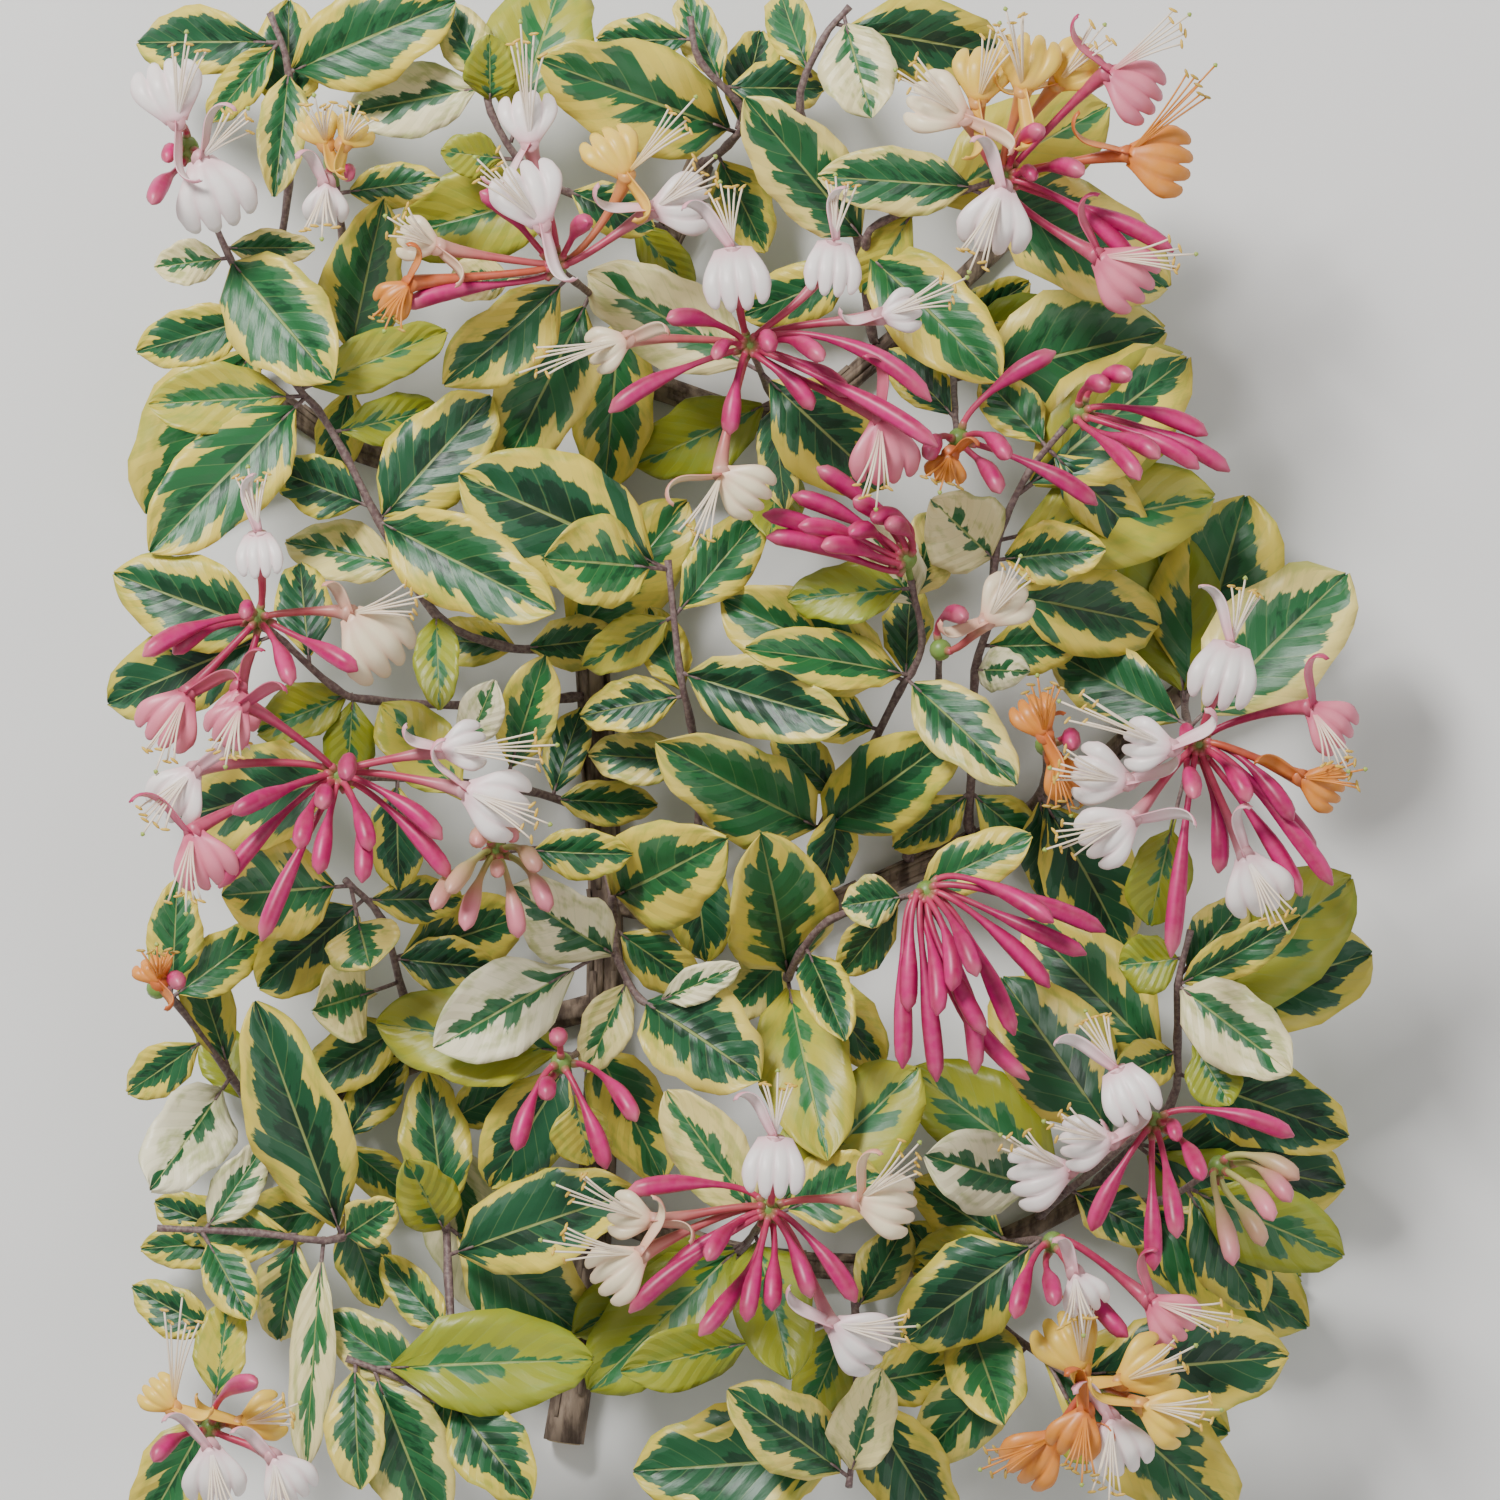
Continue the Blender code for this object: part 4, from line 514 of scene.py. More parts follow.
def make_leaf(base, tip, width, petiole, roll, arch, fold, wave, phase, stations, look, across=FOLDED):
    """Settle the pose of a leaf from its base, its tip and a few turns."""
    ahead = unit(tip - base)
    side = np.cross(ahead, np.array([0.0, 0.0, 1.0]))
    if np.linalg.norm(side) < 0.1:
        side = np.array([1.0, 0.0, 0.0])
    side = turn(unit(side), ahead, roll)
    length = float(np.linalg.norm(tip - base))
    bend = (base + tip) / 2 + np.cross(side, ahead) * (arch * length)
    return {"kind": "leaf", "base": base, "tip": tip, "bend": bend, "side": side, "half": width / 2,
            "petiole": petiole, "fold": fold, "wave": wave, "phase": phase, "stations": stations,
            "across": across, "look": look}


def bud_mesh(bud):
    """Coarse closed bud: a slim neck that swells to a club before its tip."""
    curve = bud["curve"]
    path = [bezier(curve, t) for t in (0.0, 0.5, 0.84, 1.0)]
    return tube(path, (*[r * bud["size"] for r in BUD_RADII], 0.0), 3, tip=True)


LIP_COARSE = [
    [(0.06, -0.26), (0.06, 0.26)],
    [(0.5, -0.8), (0.52, 0.0), (0.5, 0.8)],
    [(0.8, -1.0), (0.98, -0.42), (0.84, 0.0), (0.98, 0.42), (0.8, 1.0)],
]
STRAP_COARSE = ((1.0, 0.75), (0.5, 1.0), (0.16, 0.9))
STRAP_HALF = 0.0018


def lip_point(flower, u, v):
    """Point and normal of the broad lip, which arches and bends its sides down."""
    throat, end = flower["throat"], flower["lip"]
    ahead = unit(end - throat)
    side = unit(np.cross(ahead, flower["facing"]))
    normal = np.cross(side, ahead)
    length = float(np.linalg.norm(end - throat))
    half = flower["lip_half"]
    lift = length * 0.10 * math.sin(math.pi * min(u, 1.0)) - abs(v) * half * 0.25 * u
    return throat + ahead * (length * u) + side * (v * half) + normal * lift, normal


def strap_point(flower, s, v):
    """Point and normal of the narrow lip, which rolls back."""
    spot = bezier(flower["strap"], s)
    onward = unit(bezier(flower["strap"], max(s - 0.1, 0.0)) - bezier(flower["strap"], min(s + 0.1, 1.0)))
    side = unit(np.cross(onward, flower["facing"]))
    return spot + side * (v * STRAP_HALF), np.cross(side, onward)


def flower_mesh(flower):
    """Coarse open flower in one closed mesh: tube, curled strap, four-lobed lip and one long style."""
    rows = [[strap_point(flower, s, -v), strap_point(flower, s, v)] for s, v in STRAP_COARSE]
    rows += [[lip_point(flower, u, v) for u, v in row] for row in LIP_COARSE]
    counts = [len(row) for row in rows]
    points = np.array([point for row in rows for point, _ in row])
    normals = np.array([normal for row in rows for _, normal in row])
    verts = list(points + normals * PETAL_THICK / 2) + list(points - normals * PETAL_THICK / 2)
    total = len(points)
    faces = list(sheet_faces(counts, holes=(2,)))
    upper = [4, 5, 7, 6]
    lower = [6 + total, 7 + total, 5 + total, 4 + total]
    faces += arm(verts, lower, [(bezier(flower["curve"], 0.82), TUBE_RADII[1]),
                                (bezier(flower["curve"], 0.0), TUBE_RADII[0])])
    style = flower["stamens"][1]
    faces += arm(verts, upper, [(bezier(style, 1.0), STAMEN_RADIUS)])
    return np.array(verts), faces


def arm(verts, ring, sections):
    """Extend a hole of four points along square sections to a capped end; returns the new faces."""
    faces = []
    corners = np.array([verts[i] for i in ring])
    previous = corners.mean(axis=0)
    turning = np.cross(corners[0] - corners[2], corners[1] - corners[3])
    sense = 1.0 if np.dot(turning, sections[0][0] - previous) > 0 else -1.0
    first = corners[0] - corners[2]
    for k, (spot, radius) in enumerate(sections):
        ahead = unit(spot - previous)
        if k + 1 < len(sections):
            ahead = unit(ahead + unit(sections[k + 1][0] - spot))
        first = unit(first - ahead * float(np.dot(first, ahead)))
        second = np.cross(ahead, first) * sense
        start = len(verts)
        verts.extend(spot + corner * radius for corner in (first, second, -first, -second))
        for i in range(4):
            j = (i + 1) % 4
            faces.extend([(ring[i], ring[j], start + j), (ring[i], start + j, start + i)])
        ring = [start, start + 1, start + 2, start + 3]
        previous = spot
    faces.extend([(ring[0], ring[1], ring[2]), (ring[0], ring[2], ring[3])])
    return faces


def swollen(verts, faces, amount):
    """The same mesh, moved outward, to ask for room round a piece."""
    index = np.array(faces)
    flat = np.cross(verts[index[:, 1]] - verts[index[:, 0]], verts[index[:, 2]] - verts[index[:, 0]])
    flat = rows_unit(flat)
    normals = np.zeros_like(verts)
    for column in range(3):
        np.add.at(normals, index[:, column], flat)
    return verts + rows_unit(normals) * amount


class Room:
    """Keeps what is placed and tells whether a new piece is clear of the other nodes."""

    def __init__(self):
        self.items = []
        self.low = np.zeros((0, 3))
        self.high = np.zeros((0, 3))

    def add(self, node, verts, faces, part):
        tree = BVHTree.FromPolygons(verts.tolist(), faces)
        self.items.append((node, tree, part))
        self.low = np.vstack([self.low, verts.min(axis=0)])
        self.high = np.vstack([self.high, verts.max(axis=0)])

    def meets(self, node, verts, faces, friends=(), core=None):
        """Count the pieces met: (in other nodes, blades or outer petals of the same node)."""
        if verts[:, 2].min() < FLOOR_CLEAR:
            return 99, 0
        grown = swollen(verts, faces, CLEAR)
        low, high = grown.min(axis=0), grown.max(axis=0)
        near = np.where(np.all(self.low <= high, axis=1) & np.all(self.high >= low, axis=1))[0]
        tree = None
        others, own = 0, 0
        for k in near:
            other_node, other_tree, part = self.items[k]
            if other_node in friends or (other_node == node and part == "stem"):
                continue
            if other_node == node and part == "petal" and core is None:
                continue
            if tree is None:
                tree = BVHTree.FromPolygons(grown.tolist(), faces)
            pairs = tree.overlap(other_tree)
            if not pairs:
                continue
            if other_node != node:
                others += 1
                break
            if part == "blade":
                own += 1
            else:
                middles = [grown[list(faces[a])].mean(axis=0) for a, _ in pairs]
                own += any(np.linalg.norm(middle - core) > HEAD_FREE for middle in middles)
        return others, own


def woody_axis():
    """Smooth axes of the barked vine, resting on z = 0 by the flat under side of each section."""
    axes = {}
    rise = math.cos(math.pi / WOODY_SIDES)
    for name, (radii, places) in WOODY.items():
        points = smooth_path([at(x, y, 0.0) for x, y in places], 1)
        total = len(points) - 1
        widths = [(radii[0] + (radii[1] - radii[0]) * k / total) * MM for k in range(len(points))]
        for point, width in zip(points, widths):
            point[2] = width * rise
        axes[name] = (points, widths)
    return axes


def seat_on_vine(axes, place, toward):
    """Start of a shoot: just off the bark, on the side that faces where it grows."""
    target = at(place[0], place[1], 0.0)
    best = None
    for points, widths in axes.values():
        for k in range(len(points) - 1):
            for t in np.linspace(0, 1, 9):
                spot = points[k] * (1 - t) + points[k + 1] * t
                gap = np.linalg.norm((spot - target)[:2])
                if best is None or gap < best[0]:
                    width = widths[k] * (1 - t) + widths[k + 1] * t
                    best = (gap, spot, unit(points[k + 1] - points[k]), width)
    _, spot, along, width = best
    out = toward - spot
    out = out - along * float(np.dot(out, along))
    out[2] = max(out[2], 0.7 * abs(np.linalg.norm(out[:2])))
    out = unit(out)
    return spot + out * (width + GAP), out


def plan_shoots(axes, room):
    """Stem paths of all shoots, lifted a little wherever one would meet another."""
    shoots = {}
    for name, places in SHOOTS.items():
        for lift in (0, 1.5, -1.5, 3, -3, 4.5, -4.5, 6, -6):
            points = [at(x, y, z + lift * (0 < k < len(places) - 2))
                      for k, (x, y, z) in enumerate(places[1:])]
            start, out = seat_on_vine(axes, places[0], points[0])
            path = [start, start + out * 0.003] + points
            radii = [SHOOT_RADII[0] + (SHOOT_RADII[1] - SHOOT_RADII[0]) * k / (len(path) - 1)
                     for k in range(len(path))]
            verts, faces = tube(path, radii, 4)
            others, _ = room.meets("shoot_" + name, verts, faces, friends=("vine",))
            if not others:
                break
        else:
            print("SHOOT MEETS ANOTHER", name)
        room.add("shoot_" + name, verts, faces, "stem")
        shoots[name] = {"path": path, "meshes": [(verts, faces)], "leaves": []}
    return shoots


def anchors(core, places):
    """Roots of a head's tubes: spread round the core in two tiers, in the order in which the tubes point."""
    angles = [math.atan2(*(at(*place, 0) - core)[1::-1]) for place in places]
    order = sorted(range(len(places)), key=lambda k: angles[k])
    even = {k: 2 * math.pi * rank / len(places) for rank, k in enumerate(order)}
    turn_x = sum(math.cos(angles[k] - even[k]) for k in order)
    turn_y = sum(math.sin(angles[k] - even[k]) for k in order)
    shift = math.atan2(turn_y, turn_x)
    found = []
    for k in range(len(places)):
        drift = (even[k] + shift - angles[k] + math.pi) % (2 * math.pi) - math.pi
        angle = angles[k] + ROOT_SPREAD * drift
        rise = 0.25 if order.index(k) % 2 else 0.95
        out = np.array([math.cos(rise) * math.cos(angle), math.cos(rise) * math.sin(angle), math.sin(rise)])
        found.append((core + out * (CORE_RADIUS * 0.6), out))
    return found


def plan_bud(core, place, root, rng, lift, side):
    reach = float(np.linalg.norm((at(*place, 0) - core)[:2]))
    length = max(reach * 1.04, rng.uniform(*BUD_LENGTHS) * (0.75 if reach < 0.01 else 1.0))
    rise = math.sqrt(max(length ** 2 - reach ** 2, 0.0)) * 0.8 - reach * 0.08
    tip = at(*place, 0)
    tip[2] = core[2] + rise + lift
    anchor, out = root
    span = float(np.linalg.norm(tip - anchor))
    sideways = np.cross(unit(tip - anchor), np.array([0.0, 0.0, 1.0])) * (side * span)
    size = 0.8 if span < 0.018 else 1.0
    first = anchor + out * min(span * 0.3, 0.006) + sideways
    second = (anchor + tip * 2) / 3 + sideways
    return {"kind": "bud", "curve": (anchor, first, second, tip), "size": size}


def plan_flower(core, row, root, rng, lift):
    age, throat_px, lip_px, strap_px, stamen_px = row
    throat = at(*throat_px, 0)
    reach = float(np.linalg.norm((throat - core)[:2]))
    length = max(reach * 1.05, 0.024)
    throat[2] = core[2] + math.sqrt(length ** 2 - reach ** 2) * 0.75 + lift
    anchor, out = root
    span = float(np.linalg.norm(throat - anchor))
    lip = at(*lip_px, 0)
    lip_length = float(np.linalg.norm((lip - throat)[:2]))
    lip[2] = throat[2] - lip_length * 0.15
    ahead = unit(lip - throat)
    facing = unit(np.array([0.0, 0.0, 1.0]) + 0.25 * unit(throat - core))
    strap_end = at(*strap_px, 0) if strap_px else throat
    if np.dot(unit((throat - strap_end) * FLAT), unit(ahead * FLAT)) < 0.2:
        strap_end = throat - ahead * lip_length * 0.8
        strap_end = strap_end + np.cross(ahead, facing) * rng.uniform(-0.4, 0.4) * lip_length
    strap_end[2] = throat[2] + 0.001
    strap_bend = (throat + strap_end) / 2
    strap_bend[2] = throat[2] + 0.004
    if stamen_px:
        stamen_end = at(*stamen_px, 0)
    else:
        stamen_end = throat + turn(ahead, facing, rng.uniform(-0.5, 0.5)) * lip_length * 1.35
    stamen_end[2] = throat[2] + rng.uniform(0.006, 0.010)
    stamens = []
    flat = np.cross(unit(stamen_end - throat), facing)
    for spread in (-1.0, 0.0, 1.0):
        stamens.append((throat, throat + facing * 0.007, stamen_end + flat * (spread * 0.0035)))
    below = throat - facing * 0.007 - ahead * 0.002
    curve = (anchor, anchor + out * min(span * 0.3, 0.006), below, throat)
    return {"kind": "flower", "age": age, "curve": curve, "throat": throat,
            "lip": lip, "facing": facing, "lip_half": max(lip_length * 0.56, 0.0055),
            "strap": (throat, strap_bend, strap_end), "stamens": stamens}


def core_mesh(core, foot, ahead):
    """Short stalk that widens to the low round core from which the tubes spring."""
    sections = [(foot, PEDUNCLE_RADIUS, ahead)]
    rise = unit(core - foot)
    halfway = foot * 0.5 + (core - rise * CORE_RADIUS) * 0.5 + ahead * 0.0005
    sections.append((halfway, PEDUNCLE_RADIUS, unit(rise + ahead)))
    for along, radius in ((-0.8, 0.5), (-0.1, 0.95), (0.7, 0.75)):
        sections.append((core + rise * (along * CORE_RADIUS), radius * CORE_RADIUS, rise))
    rings = []
    side = np.array([0.0, 1.0, 0.1])
    for spot, radius, axis in sections:
        side = unit(side - axis * float(np.dot(side, axis)))
        over = np.cross(axis, side)
        rings.append([spot + (side * math.cos(a) + over * math.sin(a)) * radius
                      for a in (2 * math.pi * (i + 0.5) / 5 for i in range(5))])
    return loft(rings)


def plan_heads(shoots, room):
    heads = {}
    for name, (place, shoot, flowers, buds) in HEADS.items():
        node = "bloom_" + name
        core = at(*place)
        path = shoots[shoot]["path"]
        ahead = unit(path[-1] - path[-2])
        foot = path[-1] + ahead * GAP
        meshes = [core_mesh(core, foot, ahead)]
        verts, faces = meshes[0]
        if room.meets(node, verts, faces, ("shoot_" + shoot,))[0]:
            print("CORE OR STALK MEETS", name)
        room.add(node, verts, faces, "stem")
        items = []
        roots = anchors(core, [row[1] for row in flowers] + list(buds))
        for row, root in zip(flowers, roots):
            best = None
            for lift in (0, 2, -2, 4, -4, 7, -7, 10, 13, 16, -10):
                flower = plan_flower(core, row, root, random.Random(f"{name}{row[1]}"), lift * MM)
                verts, faces = flower_mesh(flower)
                others, own = room.meets(node, verts, faces, core=core)
                if not others and (best is None or own < best[0]):
                    best = (own, flower, verts, faces)
                    if not own:
                        break
            if best is None:
                print("FLOWER LEFT OUT", name, row)
                continue
            _, flower, verts, faces = best
            room.add(node, verts, faces, "petal")
            meshes.append((verts, faces))
            items.append(flower)
        for place_px, root in zip(buds, roots[len(flowers):]):
            best = None
            for lift, side in ((0, 0), (2, 0.1), (-2, -0.1), (4, 0), (-4, 0), (7, 0.15), (10, -0.15), (14, 0),
                               (-8, 0.2), (18, 0), (-12, 0)):
                bud = plan_bud(core, place_px, root, random.Random(f"{name}{place_px}"), lift * MM, side)
                verts, faces = bud_mesh(bud)
                others, own = room.meets(node, verts, faces, core=core)
                if not others and (best is None or own < best[0]):
                    best = (own, bud, verts, faces)
                    if not own:
                        break
            if best is None:
                print("BUD LEFT OUT", name, place_px)
                continue
            _, bud, verts, faces = best
            room.add(node, verts, faces, "petal")
            meshes.append((verts, faces))
            items.append(bud)
        heads[name] = {"core": core, "foot": foot, "items": items, "meshes": meshes}
    return heads


def nearest_on_path(path, place):
    """Point of the path nearest to a place seen from above."""
    best = None
    for k in range(1, len(path) - 1):
        last = 1.0 if k < len(path) - 2 else 1.0 - ROOT_SINK / float(np.linalg.norm(path[k + 1] - path[k]))
        for t in np.linspace(0, last, 6):
            spot = path[k] * (1 - t) + path[k + 1] * t
            gap = float(np.linalg.norm((spot - place)[:2]))
            if best is None or gap < best[0]:
                best = (gap, spot)
    return best


def leaf_tries():
    """Small changes to a leaf's pose, gentlest first: (tip lift in mm, roll, arch, scale)."""
    tries = []
    for lift in (0, 3, -3, 6, -6, 9, -9, 13, -13, 17, -17, 22, -22):
        for roll in (0.0, 0.25, -0.25, 0.5, -0.5):
            for arch in (0.0, 0.1, -0.1):
                for scale in (1.0, 0.88, 0.76):
                    cost = abs(lift) / 5 + abs(roll) * 3 + abs(arch) * 8 + (1 - scale) * 12
                    tries.append((cost, lift, roll, arch, scale))
    tries.sort()
    return [row[1:] for row in tries]


TRIES = leaf_tries()


def try_leaf(room, node, base, tip, width, petiole, look, key, stations, limit, most_own=0, across=FOLDED):
    """The first pose that is clear of the other nodes, or nothing."""
    rng = random.Random(f"{SEED} leaf {key}")
    arch, roll = rng.uniform(0.06, 0.14), rng.uniform(-0.22, 0.22)
    fold, wave, phase = rng.uniform(0.08, 0.3), rng.uniform(0.1, 0.25), rng.uniform(0, 6.28)
    fallback = None
    for lift, more_roll, more_arch, scale in TRIES[:limit]:
        end = base + (tip - base) * (0.4 + 0.6 * scale)
        end[2] += lift * MM
        leaf = make_leaf(base, end, width * scale, petiole, roll + more_roll, arch + more_arch, fold, wave,
                         phase, stations, look, across)
        verts, faces = leaf_mesh(leaf)
        others, own = room.meets(node, verts, faces)
        if others:
            continue
        if not own:
            return leaf, verts, faces
        if fallback is None or own < fallback[0]:
            fallback = (own, leaf, verts, faces)
    return fallback[1:] if fallback and fallback[0] <= most_own else None


def blade_stations(petiole, count):
    """Where along a leaf its sections lie."""
    shares = {2: (0.3, 0.72), 3: (0.2, 0.52, 0.84)}[count]
    return [petiole + (1.0 - petiole) * share for share in shares]


def plan_leaves(shoots, room, cover):
    for row, (shoot, base_px, tip_px, width, height, look) in enumerate(LEAVES):
        node = "shoot_" + shoot
        place = at(*base_px, 0)
        _, start = nearest_on_path(shoots[shoot]["path"], place)
        tip = at(*tip_px, height)
        gap = float(np.linalg.norm((start - place)[:2]))
        petiole = min(gap / max(float(np.linalg.norm((tip - start)[:2])), 0.001) + 0.05, 0.5)
        stations = blade_stations(petiole, 3 if width > 52 else 2)
        found = try_leaf(room, node, start, tip, width * PIXEL, petiole, look, row, stations, 120, most_own=1)
        if found is None:
            print("LEAF LEFT OUT", row, shoot, base_px, tip_px)
            continue
        leaf, verts, faces = found
        room.add(node, verts, faces, "blade")
        cover.mark(leaf)
        shoots[shoot]["leaves"].append(leaf)
        shoots[shoot]["meshes"].append((verts, faces))


class Cover:
    """Grid seen from above, to find where the vine is still open."""

    CELL = 0.004

    def __init__(self):
        (left, right), (top, bottom) = VIEW_PX
        self.low = at(left, bottom, 0)
        span = at(right, top, 0) - self.low
        self.wide = int(span[0] / self.CELL)
        self.tall = int(span[1] / self.CELL)
        self.grid = np.zeros((self.wide, self.tall), bool)

    def cell(self, point):
        return int((point[0] - self.low[0]) / self.CELL), int((point[1] - self.low[1]) / self.CELL)

    def mark_point(self, point):
        i, j = self.cell(point)
        if 0 <= i < self.wide and 0 <= j < self.tall:
            self.grid[i, j] = True

    def mark(self, leaf):
        u, v = np.meshgrid(np.linspace(0.1, 0.98, 12), np.linspace(-0.9, 0.9, 7))
        for point in leaf_points(leaf, u.ravel(), v.ravel())[0]:
            self.mark_point(point)

    def mark_mesh(self, verts, faces):
        for a, b, c in faces:
            for w in ((1, 0, 0), (0.5, 0.5, 0), (0, 0.5, 0.5), (0.5, 0, 0.5), (1 / 3, 1 / 3, 1 / 3)):
                self.mark_point(verts[a] * w[0] + verts[b] * w[1] + verts[c] * w[2])

    def holes(self):
        """Open cells with the number of open cells round each, the most open first."""
        found = []
        for i in range(1, self.wide - 1):
            for j in range(1, self.tall - 1):
                if not self.grid[i, j]:
                    around = int((~self.grid[i - 1:i + 2, j - 1:j + 2]).sum())
                    found.append((-around, i, j))
        found.sort()
        return found

    def place(self, i, j):
        return self.low + np.array([(i + 0.5) * self.CELL, (j + 0.5) * self.CELL, 0.0])


FILL_LOOKS = ("green", "green", "dark", "yellow", "cream", "green")
# The inner leaves lean to the dark green look so that the gaps low among the stems read dark: partly the
# deeper leaves' own green, partly painted deep shade
INNER_LOOKS = ("green", "dark", "green", "yellow", "dark")


def shoots_near(shoots, place, nearest, farthest, lowest, rng, drift):
    """Places on the shoots from which a leaf could reach the given place, the nearest first."""
    options = []
    for name, shoot in shoots.items():
        path = shoot["path"][1:]
        for spot in [a * 0.5 + b * 0.5 for a, b in zip(path, path[1:])]:
            gap = float(np.linalg.norm((spot - place)[:2]))
            if nearest < gap < farthest and spot[2] > lowest:
                options.append((gap + rng.uniform(0, drift), name, spot))
    options.sort(key=lambda option: option[0])
    return options


def open_places(cover, least):
    """Places still open from above with at least so many open cells round them, each given once."""
    asked = set()
    bare = [at(x, y, 0) for x, y in zip(*BARE_TRUNK_PX)]
    while True:
        holes = [hole for hole in cover.holes() if hole[1:] not in asked]
        if not holes or holes[0][0] > -least:
            return
        _, i, j = holes[0]
        asked.add((i, j))
        place = cover.place(i, j)
        if not (bare[0][0] < place[0] < bare[1][0] and bare[1][1] < place[1] < bare[0][1]):
            yield place, f"{i} {j}"


def keep_leaf(room, cover, shoots, name, found):
    leaf, verts, faces = found
    room.add("shoot_" + name, verts, faces, "blade")
    cover.mark(leaf)
    shoots[name]["leaves"].append(leaf)
    shoots[name]["meshes"].append((verts, faces))


def plan_fill(shoots, room, cover):
    """Give the most open places a leaf from the nearest shoot, where one fits."""
    rng = random.Random(SEED + 5)
    made = 0
    for place, key in open_places(cover, 4):
        for gap, name, start in shoots_near(shoots, place, 0.006, 0.045, 0.012, rng, 0.006)[:6]:
            away = unit((place - start) * FLAT)
            length = min(max(gap * 1.35, 0.026), 0.050)
            tip = start + away * length
            tip[2] = max(start[2] - rng.uniform(0.0, 0.012), 0.006)
            width = length * rng.uniform(0.42, 0.55)
            look = FILL_LOOKS[made % len(FILL_LOOKS)]
            found = try_leaf(room, "shoot_" + name, start, tip, width, 0.1, look, f"fill {key} {name}",
                             blade_stations(0.1, 2), 60)
            if found:
                keep_leaf(room, cover, shoots, name, found)
                made += 1
                break
        if made >= FILL_LEAVES:
            break
    print("FILL LEAVES", made)


def plan_inner(shoots, room, cover):
    """Smaller level leaves lower down among the stems, where the vine is still open from above."""
    rng = random.Random(SEED + 8)
    made = 0
    for place, key in open_places(cover, 3):
        for gap, name, start in shoots_near(shoots, place, 0.004, 0.060, 0.008, rng, 0.010)[:4]:
            away = unit((place - start) * FLAT)
            length = min(max(gap * 1.3, 0.024), 0.055)
            tip = start + away * length
            tip[2] = min(max(start[2] - rng.uniform(0.0, 0.020), 0.006), 0.045)
            look = INNER_LOOKS[made % len(INNER_LOOKS)]
            found = try_leaf(room, "shoot_" + name, start, tip, length * rng.uniform(0.45, 0.6), 0.1, look,
                             f"inner {key} {name}", blade_stations(0.1, 2), 24, most_own=1, across=LEVEL)
            if found:
                keep_leaf(room, cover, shoots, name, found)
                made += 1
                break
        if made >= INNER_LEAVES:
            break
    print("INNER LEAVES", made)


def plan():
    """Lay out the whole vine: axes of the bark, shoots with leaves, and heads."""
    room = Room()
    axes = woody_axis()
    woody = []
    for points, widths in axes.values():
        verts, faces = tube(points, widths, WOODY_SIDES)
        woody.append((verts, faces))
        room.add("vine", verts, faces, "stem")
    shoots = plan_shoots(axes, room)
    heads = plan_heads(shoots, room)
    cover = Cover()
    for head in heads.values():
        for verts, faces in head["meshes"]:
            cover.mark_mesh(verts, faces)
    plan_leaves(shoots, room, cover)
    plan_fill(shoots, room, cover)
    plan_inner(shoots, room, cover)
    return axes, woody, shoots, heads


# The dressed pieces
LEAF_THICK = 0.00035
RIPPLE = (0.04, 0.13)
FINE_GRID = (18, 11)
INNER_GRID = (10, 7)
PETAL_THIN = 0.0003
BUD_GIRTH = 0.00132
BUD_DROOP = 0.0020
CAMERA_HEIGHT = 2.6
VIEW_WIDTH = 0.375
FOCUS_HEIGHT = 0.055
SENSOR_WIDTH = 36.0
SURFACE_COLOUR = (0.84, 0.83, 0.81, 1.0)
SURFACE_DROP = 0.0002
SURFACE_HALF = 3.0
ROOM_LIGHT = 0.42
# Soft lights: place from the middle of the view, size, power
LIGHTS = {"key": ((-0.8, 1.1, 1.5), 0.5, 50.0), "fill": ((1.2, -0.6, 1.4), 1.4, 8.0)}
VIEW_MIDDLE_PX = (750, 750)
UP = np.array([0.0, 0.0, 1.0])
FLOOR_GAP = 0.0004
STALK_RADIUS = 0.0006
STALK_END = 0.0004
STALK_DROP = 0.0002
SHOOT_SIDES = 9
BUD_STEPS = 16
BUD_SIDES = 10
TUBE_STEPS = 13
TUBE_SIDES = 12
LIP_GRID = (13, 25)
STRAP_GRID = (17, 5)
THREADS = 6
STYLE = 2
THREAD_RADIUS = 0.00028
CORE_SIDES = 14
VINE_SIDES = 24
STRIP_HALF = 0.0007
STRIP_THICK = 0.0003

# Colouring of a leaf: how far the green reaches from the midrib, hue of the edge, darkness of the green
LOOKS = {
    "green": (0.67, 0.52, 0.52),
    "dark": (0.80, 0.44, 0.92),
    "yellow": (0.22, 0.12, 0.25),
    "cream": (0.34, 0.78, 0.45),
    "white": (0.30, 0.98, 0.55),
}

# Petal colours by age: lip, lip edge, tube
AGES = {
    "white": ((0.92, 0.86, 0.82), (0.84, 0.36, 0.44), (0.58, 0.05, 0.12)),
    "cream": ((0.90, 0.78, 0.52), (0.80, 0.36, 0.26), (0.56, 0.09, 0.10)),
    "yellow": ((0.86, 0.58, 0.07), (0.78, 0.40, 0.05), (0.66, 0.18, 0.07)),
    "orange": ((0.72, 0.26, 0.03), (0.55, 0.12, 0.02), (0.60, 0.10, 0.04)),
    "pink": ((0.80, 0.22, 0.30), (0.50, 0.02, 0.12), (0.46, 0.01, 0.09)),
}
BUD_BASE = (0.52, 0.04, 0.11)
BUD_RED = (0.35, 0.0, 0.070)
# Colour of the painted highlight streaks along the buds
BUD_HIGHLIGHT_STREAK = (0.66, 0.01, 0.20)
BUD_TIP = (0.80, 0.24, 0.30)
YOUNG_GREEN = (0.46, 0.52, 0.14)
YOUNG_PINK = (0.76, 0.22, 0.28)
CORE_GREEN = (0.16, 0.28, 0.05)
STAMEN_PALE = (0.90, 0.76, 0.58)
ANTHER = (0.72, 0.46, 0.06)
STIGMA = (0.36, 0.48, 0.08)
YOUNG_HEADS = ("g", "p")

# Flowers whose broad lip folds back toward the core, as head and place in its list
FOLDED_BACK = ("b 0", "b 1", "e 0", "n 0", "k 0", "m 0")

# The corners that every point of a piece stays between, set from the frame in main
BOX = [np.full(3, -9.0), np.full(3, 9.0)]


